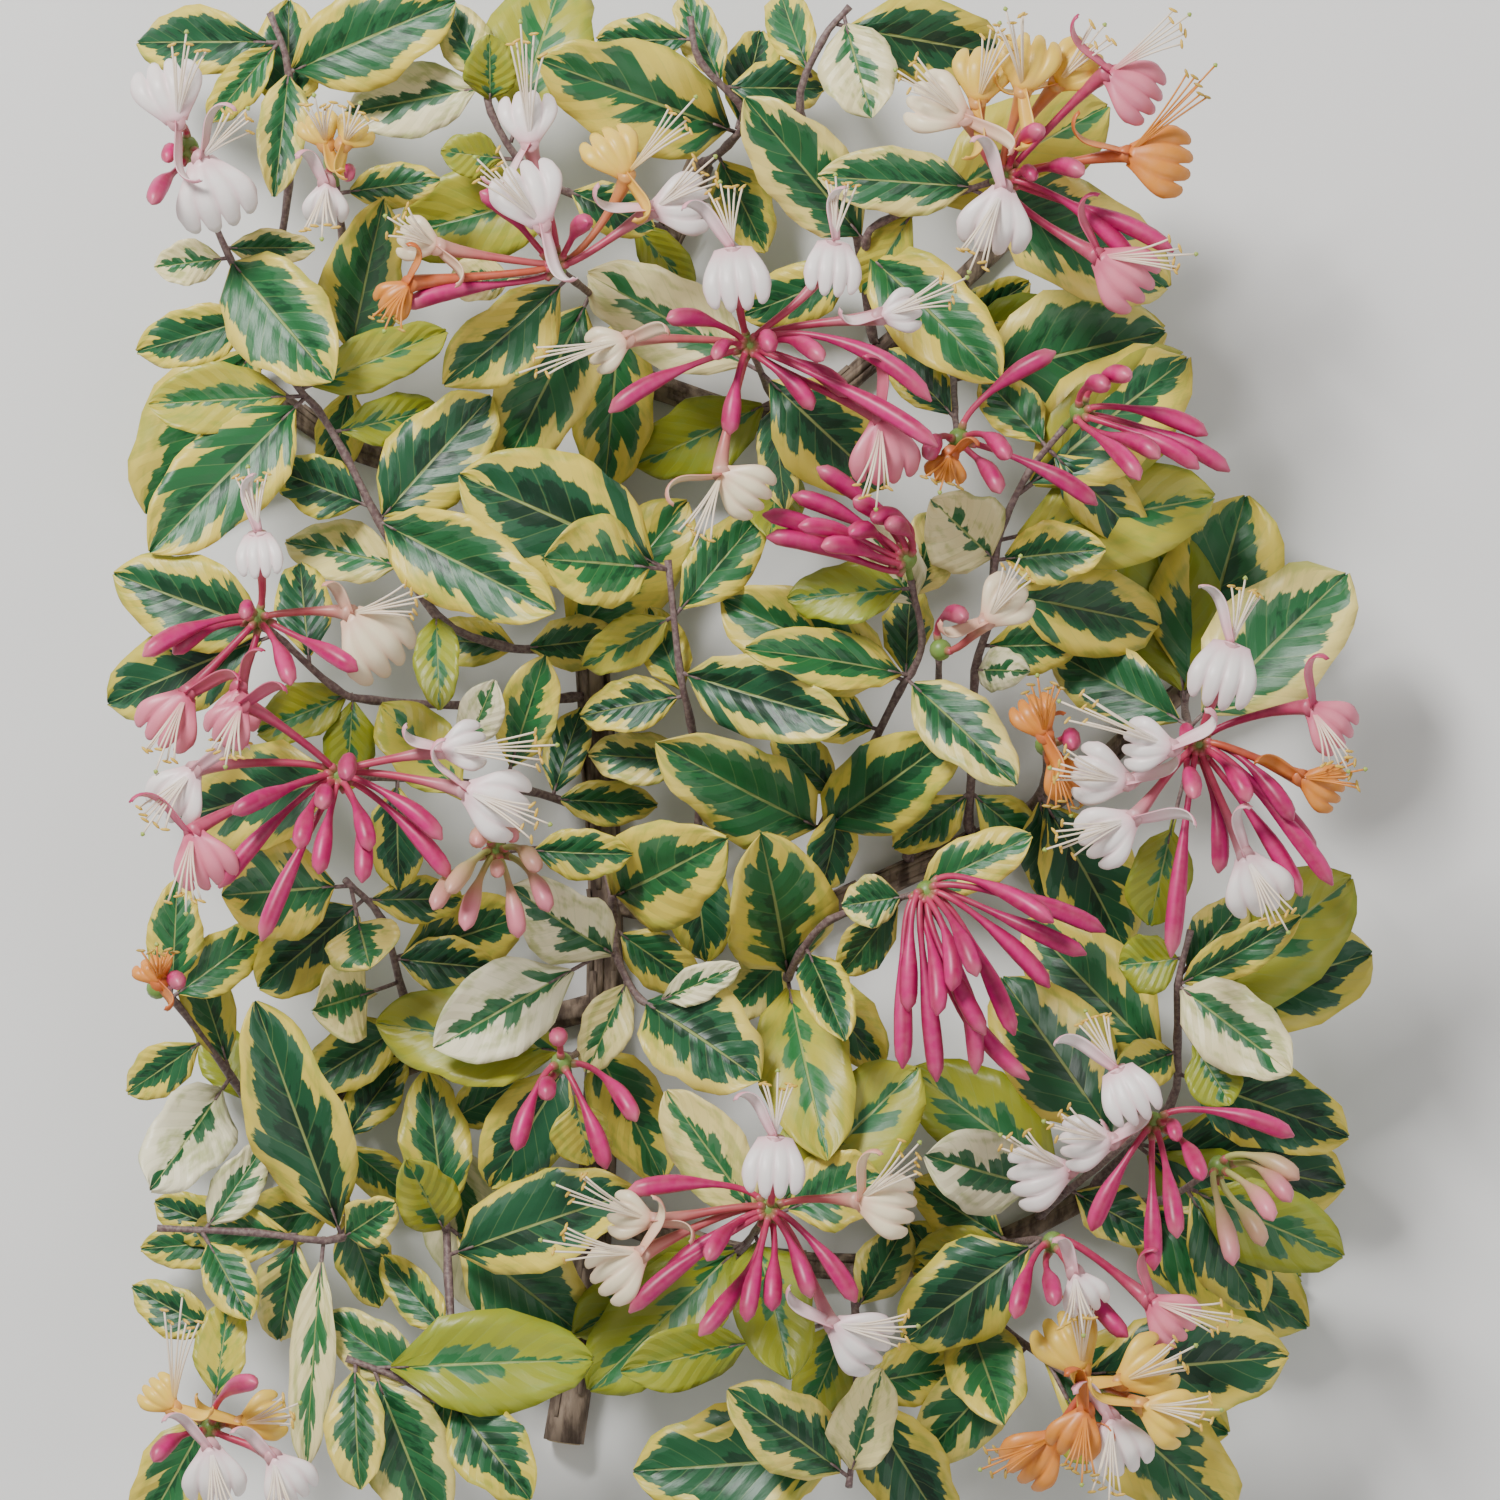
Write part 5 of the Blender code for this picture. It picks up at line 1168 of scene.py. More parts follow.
class Parts:
    """Gathers closed meshes for one piece, with a finish number and values for each point."""

    def __init__(self):
        self.verts = []
        self.faces = []
        self.finish = []
        self.values = {}
        self.count = 0

    def add(self, verts, faces, finish, **values):
        verts = np.asarray(verts, float)
        total = len(verts)
        self.verts.append(verts)
        self.faces.extend([tuple(i + self.count for i in face) for face in faces])
        self.finish.extend([finish] * len(faces))
        for name, width in (("across", 2), ("tint", 3), ("leaf", 4)):
            given = values.get(name)
            if given is None:
                given = np.zeros((total, width))
            given = np.asarray(given, float)
            if given.ndim == 1:
                given = np.tile(given, (total, 1))
            self.values.setdefault(name, []).append(given)
        self.count += total

    def build(self, name, finishes, node):
        mesh = bpy.data.meshes.new(name)
        verts = np.clip(np.vstack(self.verts), *BOX)
        mesh.from_pydata(verts.tolist(), [], self.faces)
        for finish in finishes:
            mesh.materials.append(finish)
        mesh.polygons.foreach_set("material_index", self.finish)
        mesh.polygons.foreach_set("use_smooth", [True] * len(self.faces))
        across = np.vstack(self.values["across"])
        corners = np.zeros(len(mesh.loops), int)
        mesh.loops.foreach_get("vertex_index", corners)
        layer = mesh.uv_layers.new(name="blade")
        layer.data.foreach_set("uv", across[corners].ravel())
        tint = mesh.attributes.new("tint", "FLOAT_COLOR", "POINT")
        colours = np.hstack([np.vstack(self.values["tint"]), np.ones((self.count, 1))])
        tint.data.foreach_set("color", colours.ravel())
        leaf = np.vstack(self.values["leaf"])
        for k, label in enumerate(("reach", "hue", "dark", "chance")):
            layer = mesh.attributes.new(label, "FLOAT", "POINT")
            layer.data.foreach_set("value", np.ascontiguousarray(leaf[:, k]))
        mesh.update()
        thing = bpy.data.objects.new(name, mesh)
        bpy.context.scene.collection.objects.link(thing)
        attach(thing, "root")
        if node:
            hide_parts(node)
        return thing


def grid_sheet(points, normals, thick):
    """Closed thin sheet over a grid of points (rows, columns, 3)."""
    rows, columns, _ = points.shape
    upper = (points + normals * thick / 2).reshape(-1, 3)
    lower = (points - normals * thick / 2).reshape(-1, 3)
    total = rows * columns
    faces = []
    for i in range(rows - 1):
        for j in range(columns - 1):
            a, b = i * columns + j, i * columns + j + 1
            c, d = b + columns, a + columns
            faces.append((a, b, c, d))
            faces.append((a + total, d + total, c + total, b + total))
    rim = list(range(columns))
    rim += [i * columns + columns - 1 for i in range(1, rows)]
    rim += [(rows - 1) * columns + j for j in range(columns - 2, -1, -1)]
    rim += [i * columns for i in range(rows - 2, 0, -1)]
    for a, b in zip(rim, rim[1:] + rim[:1]):
        faces.append((b, a, a + total, b + total))
    return np.vstack([upper, lower]), faces


def round_tube(path, radii, sides, tip=False):
    """Smooth closed tube: its points, faces, and each point's share of the length and angle."""
    verts, faces = tube(path, radii, sides, tip=tip)
    along = np.repeat(np.linspace(0, 1, len(path)), sides)[:len(verts)]
    angle = np.tile(2 * math.pi * (np.arange(sides) + 0.5) / sides, len(path))[:len(verts)]
    return verts, faces, along, angle


def mixed(first, second, share):
    share = np.clip(np.asarray(share, float), 0.0, 1.0)[:, None]
    return np.asarray(first) * (1 - share) + np.asarray(second) * share


def dress_leaf(parts, leaf, key):
    """Fine waved blade over the pose of a coarse leaf, with a round stalk."""
    rng = random.Random(f"{SEED} fine {key}")
    rows, columns = FINE_GRID if leaf["across"] == FOLDED else INNER_GRID
    start = leaf["petiole"] * 0.8
    u = start + (1 - start) * np.sin(np.linspace(0, 1, rows) * math.pi / 2) ** 0.8
    grid_u, grid_v = np.meshgrid(u, np.linspace(-1, 1, columns), indexing="ij")
    u, v = grid_u.ravel(), grid_v.ravel()
    phase = rng.uniform(0, 6.28)
    sides = np.where(v > 0, 1.7, 0.0)
    outline = 1 + 0.045 * np.sin(13 * u + phase + sides) + 0.03 * np.sin(27 * u + 2 * phase - sides)
    outline = outline + 0.20 * np.exp(-((u - 0.90) / 0.09) ** 2)
    points, normals = leaf_points(leaf, u, v * outline * 1.05)
    ripple = np.sin(16 * u + phase + sides * 1.5) * np.abs(v) ** 2.5 * leaf["half"] * rng.uniform(*RIPPLE)
    crease = -np.exp(-(v / 0.10) ** 2) * leaf["half"] * 0.035
    puff = np.abs(np.sin(np.abs(v) * 2.6)) * leaf["half"] * 0.05
    points = points + normals * (ripple + crease + puff)[:, None]
    points[:, 2] = np.maximum(points[:, 2], FLOOR_GAP)
    verts, faces = grid_sheet(points.reshape(rows, columns, 3), normals.reshape(rows, columns, 3), LEAF_THICK)
    along = np.clip((u - leaf["petiole"]) / (1 - leaf["petiole"]), 0, 1)
    across = np.column_stack([along, v * 0.5 + 0.5])
    reach, hue, dark = LOOKS[leaf["look"]]
    values = (reach + rng.uniform(-0.12, 0.08), hue + rng.uniform(-0.16, 0.16),
              dark + rng.uniform(-0.25, 0.25), rng.random())
    beneath = (values[0] - 0.05, values[1], -1.0, values[3])
    values = np.vstack([np.tile(values, (len(u), 1)), np.tile(beneath, (len(u), 1))])
    parts.add(verts, faces, 1, across=np.vstack([across, across]), leaf=values)
    stalk_u = np.linspace(0, min(leaf["petiole"] + 0.06, 0.6), 5)
    path, _ = leaf_points(leaf, stalk_u, np.zeros(5))
    radii = [STALK_RADIUS] * 4 + [STALK_END]
    verts, faces, _, _ = round_tube(list(path - UP * STALK_DROP), radii, 6)
    parts.add(verts, faces, 0)


def dress_shoot(name, shoot, finishes):
    parts = Parts()
    path = smooth_path(shoot["path"], 4)
    count = len(path)
    radii = []
    for k in range(count):
        swell = 1.0 + 0.25 * math.exp(-((k % 4) / 0.8) ** 2)
        radii.append((SHOOT_RADII[0] + (SHOOT_RADII[1] - SHOOT_RADII[0]) * k / (count - 1)) * 0.88 * swell)
    verts, faces, _, _ = round_tube(path, radii, SHOOT_SIDES)
    parts.add(verts, faces, 0)
    for k, leaf in enumerate(shoot["leaves"]):
        dress_leaf(parts, leaf, f"{name} {k}")
    return parts.build("leafy_" + name, finishes, "shoot_" + name)


def dress_bud(parts, bud, key, young):
    """Bud with painted highlight streaks along its length: a slim tube that swells to a long club, arched and
    drooping at its end.
    """
    rng = random.Random(f"{SEED} bud {key}")
    shares = np.linspace(0, 1, BUD_STEPS)
    path = np.array([bezier(bud["curve"], t) for t in shares])
    axis = unit(path[-1] - path[0])
    droop = np.array([0.0, -1.0, 0.0]) + axis * float(axis[1])
    path = path + np.outer(np.clip((shares - 0.62) / 0.38, 0, 1) ** 2 * BUD_DROOP
                           - np.sin(math.pi * shares) * BUD_DROOP * 0.6, droop)
    swell = np.clip((shares - 0.40) / 0.36, 0, 1)
    club = 0.62 + 1.18 * swell * swell * (3 - 2 * swell)
    close = np.sqrt(np.clip(1 - (np.clip(shares - 0.84, 0, 1) / 0.16) ** 2, 0, 1)) * 0.86 + 0.14
    radii = club * close * BUD_GIRTH * bud["size"]
    verts, faces, along, angle = round_tube(list(path), list(radii), BUD_SIDES)
    # rib: three light streaks along the bud's length, painted highlights; young buds are lightened along the
    # same streaks
    rib = (0.5 + 0.5 * np.cos(angle * 3 + rng.uniform(0, 6))) * np.clip((along - 0.3) * 4, 0, 1) * 0.75
    tint = mixed(BUD_BASE, BUD_RED, (along - 0.10) * 3)
    tint = tint * (1 - rib[:, None]) + np.array(BUD_HIGHLIGHT_STREAK) * rib[:, None]
    pale = rng.uniform(0.1, 0.7) * np.clip((along - 0.88) * 8, 0, 1)[:, None]
    tint = tint * (1 - pale) + np.array(BUD_TIP) * pale
    if young:
        tint = mixed(YOUNG_GREEN, YOUNG_PINK, along ** 1.5 * rng.uniform(0.6, 1.6))
        tint = tint * (0.85 + 0.15 * rib[:, None])
    parts.add(verts, faces, 0, tint=np.clip(tint * rng.uniform(0.85, 1.1), 0, 1))


def folded_back(flower):
    """The same flower with its tube carried on to the lip's end, where the lip folds back toward the core."""
    ahead = unit(flower["lip"] - flower["throat"])
    facing = flower["facing"]
    mouth = flower["lip"] + facing * 0.002
    lip = flower["throat"] - ahead * 0.001 + facing * 0.004
    strap_end = mouth + turn(ahead, facing, 0.35) * 0.011
    style = (mouth, mouth + ahead * 0.007, mouth + ahead * 0.016 + facing * 0.002)
    curve = (*flower["curve"][:2], flower["throat"] - facing * 0.004, mouth - facing * 0.001)
    return dict(flower, throat=mouth, lip=lip, curve=curve, strap=(mouth, (mouth + strap_end) / 2, strap_end),
                stamens=[style] * 3)


def dress_flower(parts, flower, key):
    rng = random.Random(f"{SEED} flower {key}")
    if key in FOLDED_BACK:
        flower = folded_back(flower)
    lip_colour, edge_colour, tube_colour = [np.array(colour) for colour in AGES[flower["age"]]]
    shade = rng.uniform(0.92, 1.05)
    shares = np.linspace(0, 1, TUBE_STEPS)
    path = [bezier(flower["curve"], t) for t in shares]
    radii = [0.0008 + 0.0005 * t + 0.0011 * max(t - 0.55, 0) / 0.45 for t in shares]
    verts, faces, along, angle = round_tube(path, radii, TUBE_SIDES)
    tint = mixed(tube_colour * 0.9, tube_colour * 0.5 + lip_colour * 0.5, (along - 0.5) * 1.6)
    tint = tint * (0.9 + 0.1 * np.cos(angle * 4))[:, None]
    parts.add(verts, faces, 0, tint=np.clip(tint * shade, 0, 1))
    # Broad lip with four round lobes
    rows, columns = LIP_GRID
    grid_u, grid_v = np.meshgrid(np.linspace(0, 1, rows), np.linspace(-1, 1, columns), indexing="ij")
    lobes = np.abs(np.sin(2 * math.pi * grid_v)) ** 0.42
    end = (0.76 + 0.24 * lobes) * (1.0 - 0.16 * grid_v ** 2)
    s = grid_u * (1 - grid_u + grid_u * end)
    ahead = unit(flower["lip"] - flower["throat"])
    side = unit(np.cross(ahead, flower["facing"]))
    normal = np.cross(side, ahead)
    length = float(np.linalg.norm(flower["lip"] - flower["throat"]))
    half = flower["lip_half"]
    narrow = 0.55 if key in FOLDED_BACK else 0.30
    widen = narrow + (1 - narrow) * np.sin(np.clip(s / 0.62, 0, 1) * math.pi / 2) ** 1.2
    wide = half * widen * (1.0 - 0.10 * np.clip(s - 0.7, 0, 1))
    curl = rng.uniform(0.2, 0.5)
    lift = length * 0.10 * np.sin(math.pi * s) - np.abs(grid_v) ** 1.5 * half * 0.28 * s
    lift = lift - curl * length * (np.clip(s - 0.55, 0, 1) / 0.45) ** 2 * 0.55
    lift = lift - (1 - s) ** 4 * grid_v ** 2 * 0.0016
    lift = lift + half * 0.13 * (lobes - 0.5) * np.clip(s * 2.2 - 0.3, 0, 1)
    points = (flower["throat"] + ahead * (length * s)[..., None] + side * (grid_v * wide)[..., None]
              + normal * lift[..., None])
    verts, faces = grid_sheet(points, np.broadcast_to(normal, points.shape), PETAL_THIN)
    flush = np.clip(1.2 - 4.0 * s, 0, 1) * 0.7 + np.clip(grid_u * 3 - 2.3, 0, 1) * rng.uniform(0.0, 0.35)
    flush = flush + (1 - lobes) * 0.35 * np.clip(s * 2, 0, 1)
    flush = np.concatenate([flush.ravel() * 0.8, flush.ravel() * 1.1 + 0.15])
    parts.add(verts, faces, 0, tint=np.clip(mixed(lip_colour, edge_colour, flush) * shade, 0, 1))
    # Narrow lip, a ribbon that coils back at its end
    rows, columns = STRAP_GRID
    onward = unit(flower["strap"][2] - flower["strap"][0])
    flank = unit(np.cross(onward, flower["facing"]))
    lean = rng.choice((-1, 1)) * rng.uniform(0.6, 1.15)
    over = unit(np.cross(flank, onward) * math.cos(lean) + flank * math.sin(lean))
    broad = np.cross(onward, over)
    span = float(np.linalg.norm(flower["strap"][2] - flower["strap"][0]))
    step = min(max(span * 1.7, 0.011), 0.020) * rng.uniform(0.9, 1.1) / (rows - 1)
    curl = rng.uniform(3.6, 5.6)
    spot = np.array(flower["strap"][0])
    points = np.zeros((rows, columns, 3))
    normals = np.zeros((rows, columns, 3))
    for i, t in enumerate(np.linspace(0, 1, rows)):
        heading = 0.25 - 0.35 * t + curl * max(t - 0.30, 0.0) ** 1.6
        forward = onward * math.cos(heading) + over * math.sin(heading)
        outward = over * math.cos(heading) - onward * math.sin(heading)
        half = STRAP_HALF * (0.60 + 0.55 * math.sin(math.pi * min(t * 0.85 + 0.08, 1.0)))
        half = half * (1.0 if t < 0.93 else 0.6)
        for j, v in enumerate(np.linspace(-1, 1, columns)):
            points[i, j] = spot + broad * (v * half) + outward * (v * v * 0.0005)
            normals[i, j] = outward
        spot = spot + forward * step
    verts, faces = grid_sheet(points, normals, PETAL_THIN)
    share = np.repeat(np.linspace(0, 1, rows), columns)
    upper = mixed(edge_colour, lip_colour, share * 1.2 + 0.1)
    lower = mixed(tube_colour, edge_colour, share * 1.3)
    parts.add(verts, faces, 0, tint=np.clip(np.vstack([upper, lower]) * shade, 0, 1))
    # Five stamens and a longer style
    throat = flower["throat"]
    reach = flower["stamens"][1][-1]
    flat = unit(np.cross(unit(reach - throat), flower["facing"]))
    for k in range(THREADS):
        spread = (k - 2.5) * 0.0016 + rng.uniform(-0.0006, 0.0006)
        share = 1.0 if k == STYLE else rng.uniform(0.72, 0.92)
        end = throat + (reach - throat) * share + flat * spread
        end = end + np.array([0, 0, rng.uniform(-0.002, 0.001)])
        halfway = throat + (reach - throat) * 0.4 + flower["facing"] * 0.0035 + flat * spread * 0.3
        curve = (throat - flower["facing"] * 0.002, halfway, end)
        path = [bezier(curve, t) for t in np.linspace(0, 1, 8)]
        verts, faces, along, _ = round_tube(path, [THREAD_RADIUS] * 8, 5)
        pale = STAMEN_PALE if flower["age"] != "orange" else tuple(lip_colour)
        parts.add(verts, faces, 0, tint=mixed(lip_colour, pale, along * 2))
        onward = unit(path[-1] - path[-2])
        if k == STYLE:
            verts, faces, _, _ = round_tube([end - onward * 0.0003, end, end + onward * 0.0007],
                                            [0.0004, 0.0007, 0.0003], 7)
            parts.add(verts, faces, 0, tint=STIGMA)
        else:
            tilt = turn(flat, onward, rng.uniform(-0.6, 0.6))
            tilt = unit(tilt + onward * rng.uniform(-0.6, 0.6))
            ends = [end - tilt * 0.0013, end - tilt * 0.0007, end + tilt * 0.0007, end + tilt * 0.0013]
            verts, faces, _, _ = round_tube(ends, [0.0001, 0.00042, 0.00042, 0.0001], 6)
            parts.add(verts, faces, 0, tint=np.array(ANTHER) * (0.7 if flower["age"] == "orange" else 1.0))


def dress_head(name, head, finishes):
    parts = Parts()
    core, foot = head["core"], head["foot"]
    rise = unit(core - foot)
    path = smooth_path([foot, foot * 0.4 + (core - rise * CORE_RADIUS) * 0.6, core - rise * CORE_RADIUS * 0.8,
                        core - rise * CORE_RADIUS * 0.1, core + rise * CORE_RADIUS * 0.7], 4)
    radii = np.interp(np.linspace(0, 1, len(path)), [0, 0.4, 0.52, 0.78, 0.95, 1.0],
                      [0.0009, 0.0009, 0.0016, 0.0029, 0.0022, 0.0010])
    verts, faces, _, _ = round_tube(path, list(radii), CORE_SIDES)
    parts.add(verts, faces, 0, tint=CORE_GREEN)
    for k, item in enumerate(head["items"]):
        key = f"{name} {k}"
        if item["kind"] == "bud":
            dress_bud(parts, item, key, name in YOUNG_HEADS)
        else:
            dress_flower(parts, item, key)
        root = bezier(item["curve"], 0.0)
        out = unit(root - core)
        verts, faces, along, _ = round_tube([root - out * 0.0006, root + out * 0.0005, root + out * 0.0016,
                                             root + out * 0.0023], [0.0008, 0.0012, 0.0010, 0.0008], 8)
        parts.add(verts, faces, 0, tint=mixed(CORE_GREEN, BUD_BASE, along * 0.9))
    return parts.build("head_" + name, finishes, "bloom_" + name)


def dress_vine(axes, finishes):
    parts = Parts()
    rng = random.Random(SEED + 3)
    for points, widths in axes.values():
        path = smooth_path(points, 8)
        count = len(path)
        radii = np.interp(np.linspace(0, 1, count), np.linspace(0, 1, len(widths)), widths)
        verts, faces, along, angle = round_tube(path, list(radii), VINE_SIDES)
        centres = np.repeat(np.array(path), VINE_SIDES, axis=0)
        ridge = 1.0 + 0.06 * np.sin(angle * 5 + along * 9) + 0.05 * np.sin(angle * 9 - along * 31)
        verts = centres + (verts - centres) * (ridge * 0.97)[:, None]
        verts[:, 2] = np.maximum(verts[:, 2], 0.0)
        parts.add(verts, faces, 0)
        # Loose strips of bark along the upper side
        for _ in range(int(count * 0.9)):
            k = rng.randrange(1, count - 5)
            lean = rng.uniform(-1.2, 1.2)
            strip = []
            size = rng.randrange(3, 6)
            for step in range(size):
                spot = path[min(k + step, count - 1)]
                ahead = unit(path[min(k + step + 1, count - 1)] - path[max(k + step - 1, 0)])
                side = unit(np.cross(ahead, UP))
                out = side * math.sin(lean) + UP * math.cos(lean)
                off = 1.02 + 0.22 * (step / size) ** 2 * rng.uniform(0.4, 1.4)
                strip.append((spot + out * radii[k] * off, np.cross(ahead, out), out))
            points_grid = np.array([[spot - wide * STRIP_HALF, spot, spot + wide * STRIP_HALF]
                                    for spot, wide, _ in strip])
            normal_grid = np.array([[out] * 3 for _, _, out in strip])
            points_grid[:, :, 2] = np.maximum(points_grid[:, :, 2], FLOOR_GAP)
            verts, faces = grid_sheet(points_grid, normal_grid, STRIP_THICK)
            parts.add(verts, faces, 0)
        # Pale wood at both cut ends
        for end, beside, size in ((path[0], path[1], radii[0]), (path[-1], path[-2], radii[-1])):
            away = unit(end - beside)
            verts, faces, _, _ = round_tube([end - away * 0.0004, end + away * 0.0003], [size * 0.86] * 2, 20)
            verts[:, 2] = np.maximum(verts[:, 2], 0.0003)
            parts.add(verts, faces, 1)
    return parts.build("barked_vine", finishes, "vine")


class Node:
    """A shader value that takes Python arithmetic."""

    def __init__(self, tree, socket):
        self.tree = tree
        self.socket = socket

    def make(self, kind, *inputs, output=0, **settings):
        node = self.tree.nodes.new(kind)
        for key, value in settings.items():
            setattr(node, key, value)
        for k, value in enumerate(inputs):
            if value is None:
                continue
            if isinstance(value, Node):
                self.tree.links.new(value.socket, node.inputs[k])
            else:
                node.inputs[k].default_value = value
        return Node(self.tree, node.outputs[output])

    def maths(self, kind, *others):
        return self.make("ShaderNodeMath", self, *others, operation=kind)

    def __add__(self, other):
        return self.maths("ADD", other)

    def __sub__(self, other):
        return self.maths("SUBTRACT", other)

    def __mul__(self, other):
        return self.maths("MULTIPLY", other)

    def __rsub__(self, other):
        return (self * -1.0) + other

    __radd__ = __add__
    __rmul__ = __mul__

    def abs(self):
        return self.maths("ABSOLUTE")

    def fract(self):
        return self.maths("FRACT")

    def step(self, low, high):
        """0 below low and 1 above high, smooth between; low may be above high."""
        return self.make("ShaderNodeMapRange", self, low, high, 0.0, 1.0, interpolation_type="SMOOTHSTEP")

    def mix(self, first, second):
        """Colour between first, at 0, and second, at 1."""
        node = self.tree.nodes.new("ShaderNodeMix")
        node.data_type = "RGBA"
        self.tree.links.new(self.socket, node.inputs[0])
        for place, value in ((6, first), (7, second)):
            if isinstance(value, Node):
                self.tree.links.new(value.socket, node.inputs[place])
            else:
                node.inputs[place].default_value = (*value, 1.0)
        return Node(self.tree, node.outputs[2])

    def noise(self, scale, detail=3.0, rough=0.5):
        """Noise at the place that this vector gives."""
        return self.make("ShaderNodeTexNoise", self, None, scale, detail, rough)


def finish_of(name, roughness):
    """A new material with a starting value to write its maths from."""
    made = bpy.data.materials.new(name)
    made.use_nodes = True
    tree = made.node_tree
    shader = tree.nodes["Principled BSDF"]
    shader.inputs["Roughness"].default_value = roughness
    return made, tree, shader, Node(tree, None)


def split_vector(value):
    """The three parts of a vector."""
    split = value.tree.nodes.new("ShaderNodeSeparateXYZ")
    value.tree.links.new(value.socket, split.inputs[0])
    return [Node(value.tree, split.outputs[k]) for k in range(3)]


def add_bump(shader, height, strength, distance):
    bump = height.tree.nodes.new("ShaderNodeBump")
    bump.inputs["Strength"].default_value = strength
    bump.inputs["Distance"].default_value = distance
    height.tree.links.new(height.socket, bump.inputs["Height"])
    height.tree.links.new(bump.outputs[0], shader.inputs["Normal"])


def attribute(start, name, output=2):
    return start.make("ShaderNodeAttribute", output=output, attribute_name=name)


def vector(start, x, y, z):
    return start.make("ShaderNodeCombineXYZ", x, y, z)


def leaf_finish():
    """Green middle that reaches in teeth toward a pale edge, as far as the leaf's values say."""
    made, tree, shader, start = finish_of("leaf_variegated", 0.40)
    uv = start.make("ShaderNodeUVMap", uv_map="blade")
    u, v, _ = split_vector(uv)
    v = (v - 0.5) * 2.0
    reach = attribute(start, "reach")
    hue = attribute(start, "hue")
    dark = attribute(start, "dark")
    chance = attribute(start, "chance")
    edge = v.abs()
    side = v.step(-0.02, 0.02) * 3.7
    vein = u * 7.0 - edge * 2.1 + side * 0.11
    place = vein.fract()
    sector = vein - place
    between = (place - 0.5).abs() * 2.0
    own = vector(start, sector * 1.37 + chance * 31.0, side, chance * 7.0).noise(1.0, 0.0)
    grain = vector(start, vein * 1.3 + chance * 40.0, edge * 1.1 + side, chance * 9.0).noise(2.4, 4.0, 0.65)
    broad = vector(start, u * 2.0 + chance * 31.0, v * 1.6 + side, chance * 17.0).noise(1.8, 2.0)
    tooth = (own - 0.5) * 1.25 - between * 0.10 + (grain - 0.5) * 0.34 + (broad - 0.5) * 0.35
    limit = reach * (u.step(1.05, 0.62) * 0.45 + 0.55)
    centre = (edge - tooth - limit).step(0.022, -0.022)
    inner = (edge - tooth * 1.3 - limit + 0.24).step(0.03, -0.03)
    patch = (own * 0.8 + grain * 0.5).step(0.62, 0.70)
    deep = dark.mix((0.006, 0.085, 0.022), (0.002, 0.030, 0.010))
    middle = dark.mix((0.020, 0.165, 0.040), (0.010, 0.085, 0.030))
    grey = dark.mix((0.065, 0.200, 0.070), (0.035, 0.120, 0.060))
    green = inner.mix(patch.mix(middle, grey), patch.mix(deep, middle))
    margin = hue.step(0.0, 0.5).mix((0.30, 0.33, 0.020), (0.76, 0.60, 0.085))
    margin = hue.step(0.5, 1.0).mix(margin, (0.88, 0.82, 0.56))
    tinge = (broad + grain * 0.4).step(0.66, 0.90) * 0.55
    margin = tinge.mix(margin, (0.26, 0.34, 0.040))
    colour = centre.mix(margin, green)
    under = dark.step(-0.3, -0.8) * 0.55
    colour = under.mix(colour, (0.22, 0.32, 0.15))
    line = between.step(0.90, 1.0) * edge.step(1.0, 0.6) * 0.22
    colour = line.mix(colour, (0.30, 0.42, 0.12))
    rib = (edge + u * 0.016).step(0.045, 0.022) * 0.6
    colour = rib.mix(colour, (0.46, 0.52, 0.16))
    tree.links.new(colour.socket, shader.inputs["Base Color"])
    relief = between * -0.5 - rib * 0.8 + grain * 0.3
    add_bump(shader, relief, 0.5, 0.0008)
    return made


def noise_finish(name, roughness, first, second, scale, bump_by, stretch=1.0):
    """Two colours mixed by noise in object coordinates, with a bump from the same noise."""
    made, tree, shader, start = finish_of(name, roughness)
    place = start.make("ShaderNodeTexCoord", output=3)
    x, y, z = split_vector(place)
    spot = vector(start, x, y * stretch, z)
    grain = spot.noise(scale, 5.0, 0.6)
    colour = grain.step(0.38, 0.64).mix(first, second)
    tree.links.new(colour.socket, shader.inputs["Base Color"])
    add_bump(shader, grain, 0.6, bump_by)
    return made


def petal_finish():
    made, tree, shader, start = finish_of("petal_blush", 0.40)
    tint = attribute(start, "tint", output=0)
    place = start.make("ShaderNodeTexCoord", output=3)
    grain = place.noise(420.0, 3.0)
    colour = (grain.step(0.35, 0.7) * 0.07).mix(tint, (0.80, 0.45, 0.38))
    tree.links.new(colour.socket, shader.inputs["Base Color"])
    return made


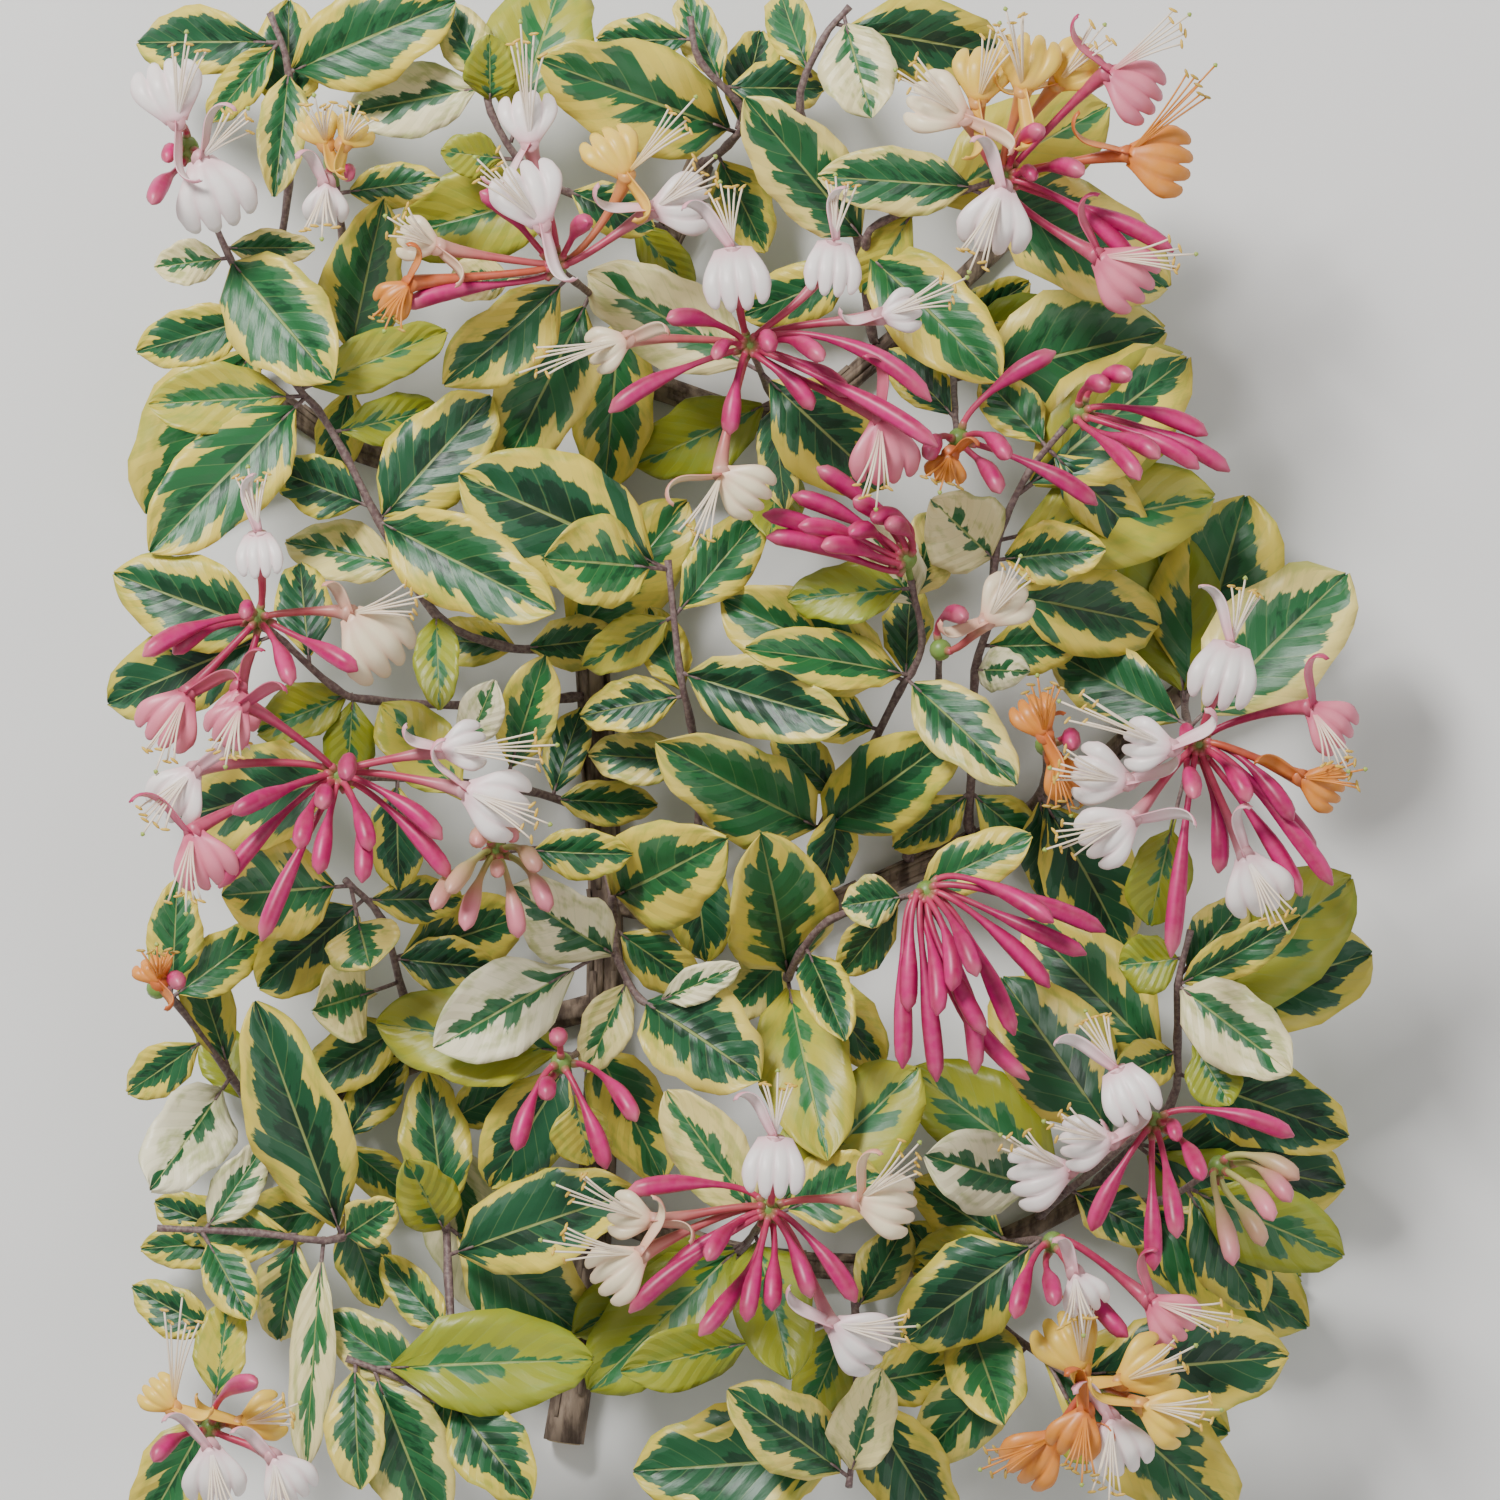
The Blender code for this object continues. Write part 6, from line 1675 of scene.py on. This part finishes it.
def add_stage():
    """Pale surface, soft lights and a camera straight above the middle of the view."""
    middle = at(*VIEW_MIDDLE_PX, 0)
    mesh = bpy.data.meshes.new("surface")
    work = bmesh.new()
    bmesh.ops.create_grid(work, x_segments=1, y_segments=1, size=SURFACE_HALF)
    work.to_mesh(mesh)
    work.free()
    surface = bpy.data.objects.new("surface", mesh)
    surface.location = (middle[0], middle[1], -SURFACE_DROP)
    bpy.context.scene.collection.objects.link(surface)
    made, _, shader, _ = finish_of("surface_pale", 0.9)
    shader.inputs["Base Color"].default_value = SURFACE_COLOUR
    mesh.materials.append(made)
    world = bpy.data.worlds.new("soft_room")
    bpy.context.scene.world = world
    world.use_nodes = True
    background = world.node_tree.nodes["Background"]
    background.inputs[0].default_value = (1.0, 1.0, 1.0, 1.0)
    background.inputs[1].default_value = ROOM_LIGHT
    for name, (offset, size, power) in LIGHTS.items():
        light = bpy.data.lights.new(name, "AREA")
        light.size = size
        light.energy = power
        lamp = bpy.data.objects.new(name, light)
        lamp.location = middle + np.array(offset)
        aim = Vector((middle - np.array(lamp.location)).tolist())
        lamp.rotation_euler = aim.to_track_quat("-Z", "Y").to_euler()
        bpy.context.scene.collection.objects.link(lamp)
    data = bpy.data.cameras.new("camera")
    data.sensor_width = SENSOR_WIDTH
    data.lens = SENSOR_WIDTH * (CAMERA_HEIGHT - FOCUS_HEIGHT) / VIEW_WIDTH
    camera = bpy.data.objects.new("camera", data)
    camera.location = (middle[0], middle[1], CAMERA_HEIGHT)
    bpy.context.scene.collection.objects.link(camera)
    bpy.context.scene.camera = camera


def main():
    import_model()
    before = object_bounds()
    BOX[:] = [np.array(before[0]), np.array(before[1])]
    axes, _, shoots, heads = plan()
    leaf = leaf_finish()
    stem = noise_finish("stem_purple", 0.55, (0.13, 0.075, 0.075), (0.24, 0.17, 0.15), 900.0, 0.0003)
    bark = noise_finish("bark_peeling", 0.9, (0.085, 0.055, 0.040), (0.30, 0.22, 0.16), 260.0, 0.0012, 0.25)
    petal = petal_finish()
    wood = noise_finish("wood_cut", 0.8, (0.42, 0.30, 0.16), (0.58, 0.45, 0.26), 900.0, 0.0002)
    dress_vine(axes, [bark, wood])
    for name, shoot in shoots.items():
        dress_shoot(name, shoot, [stem, leaf])
    for name, head in heads.items():
        dress_head(name, head, [petal])
    add_stage()


main()
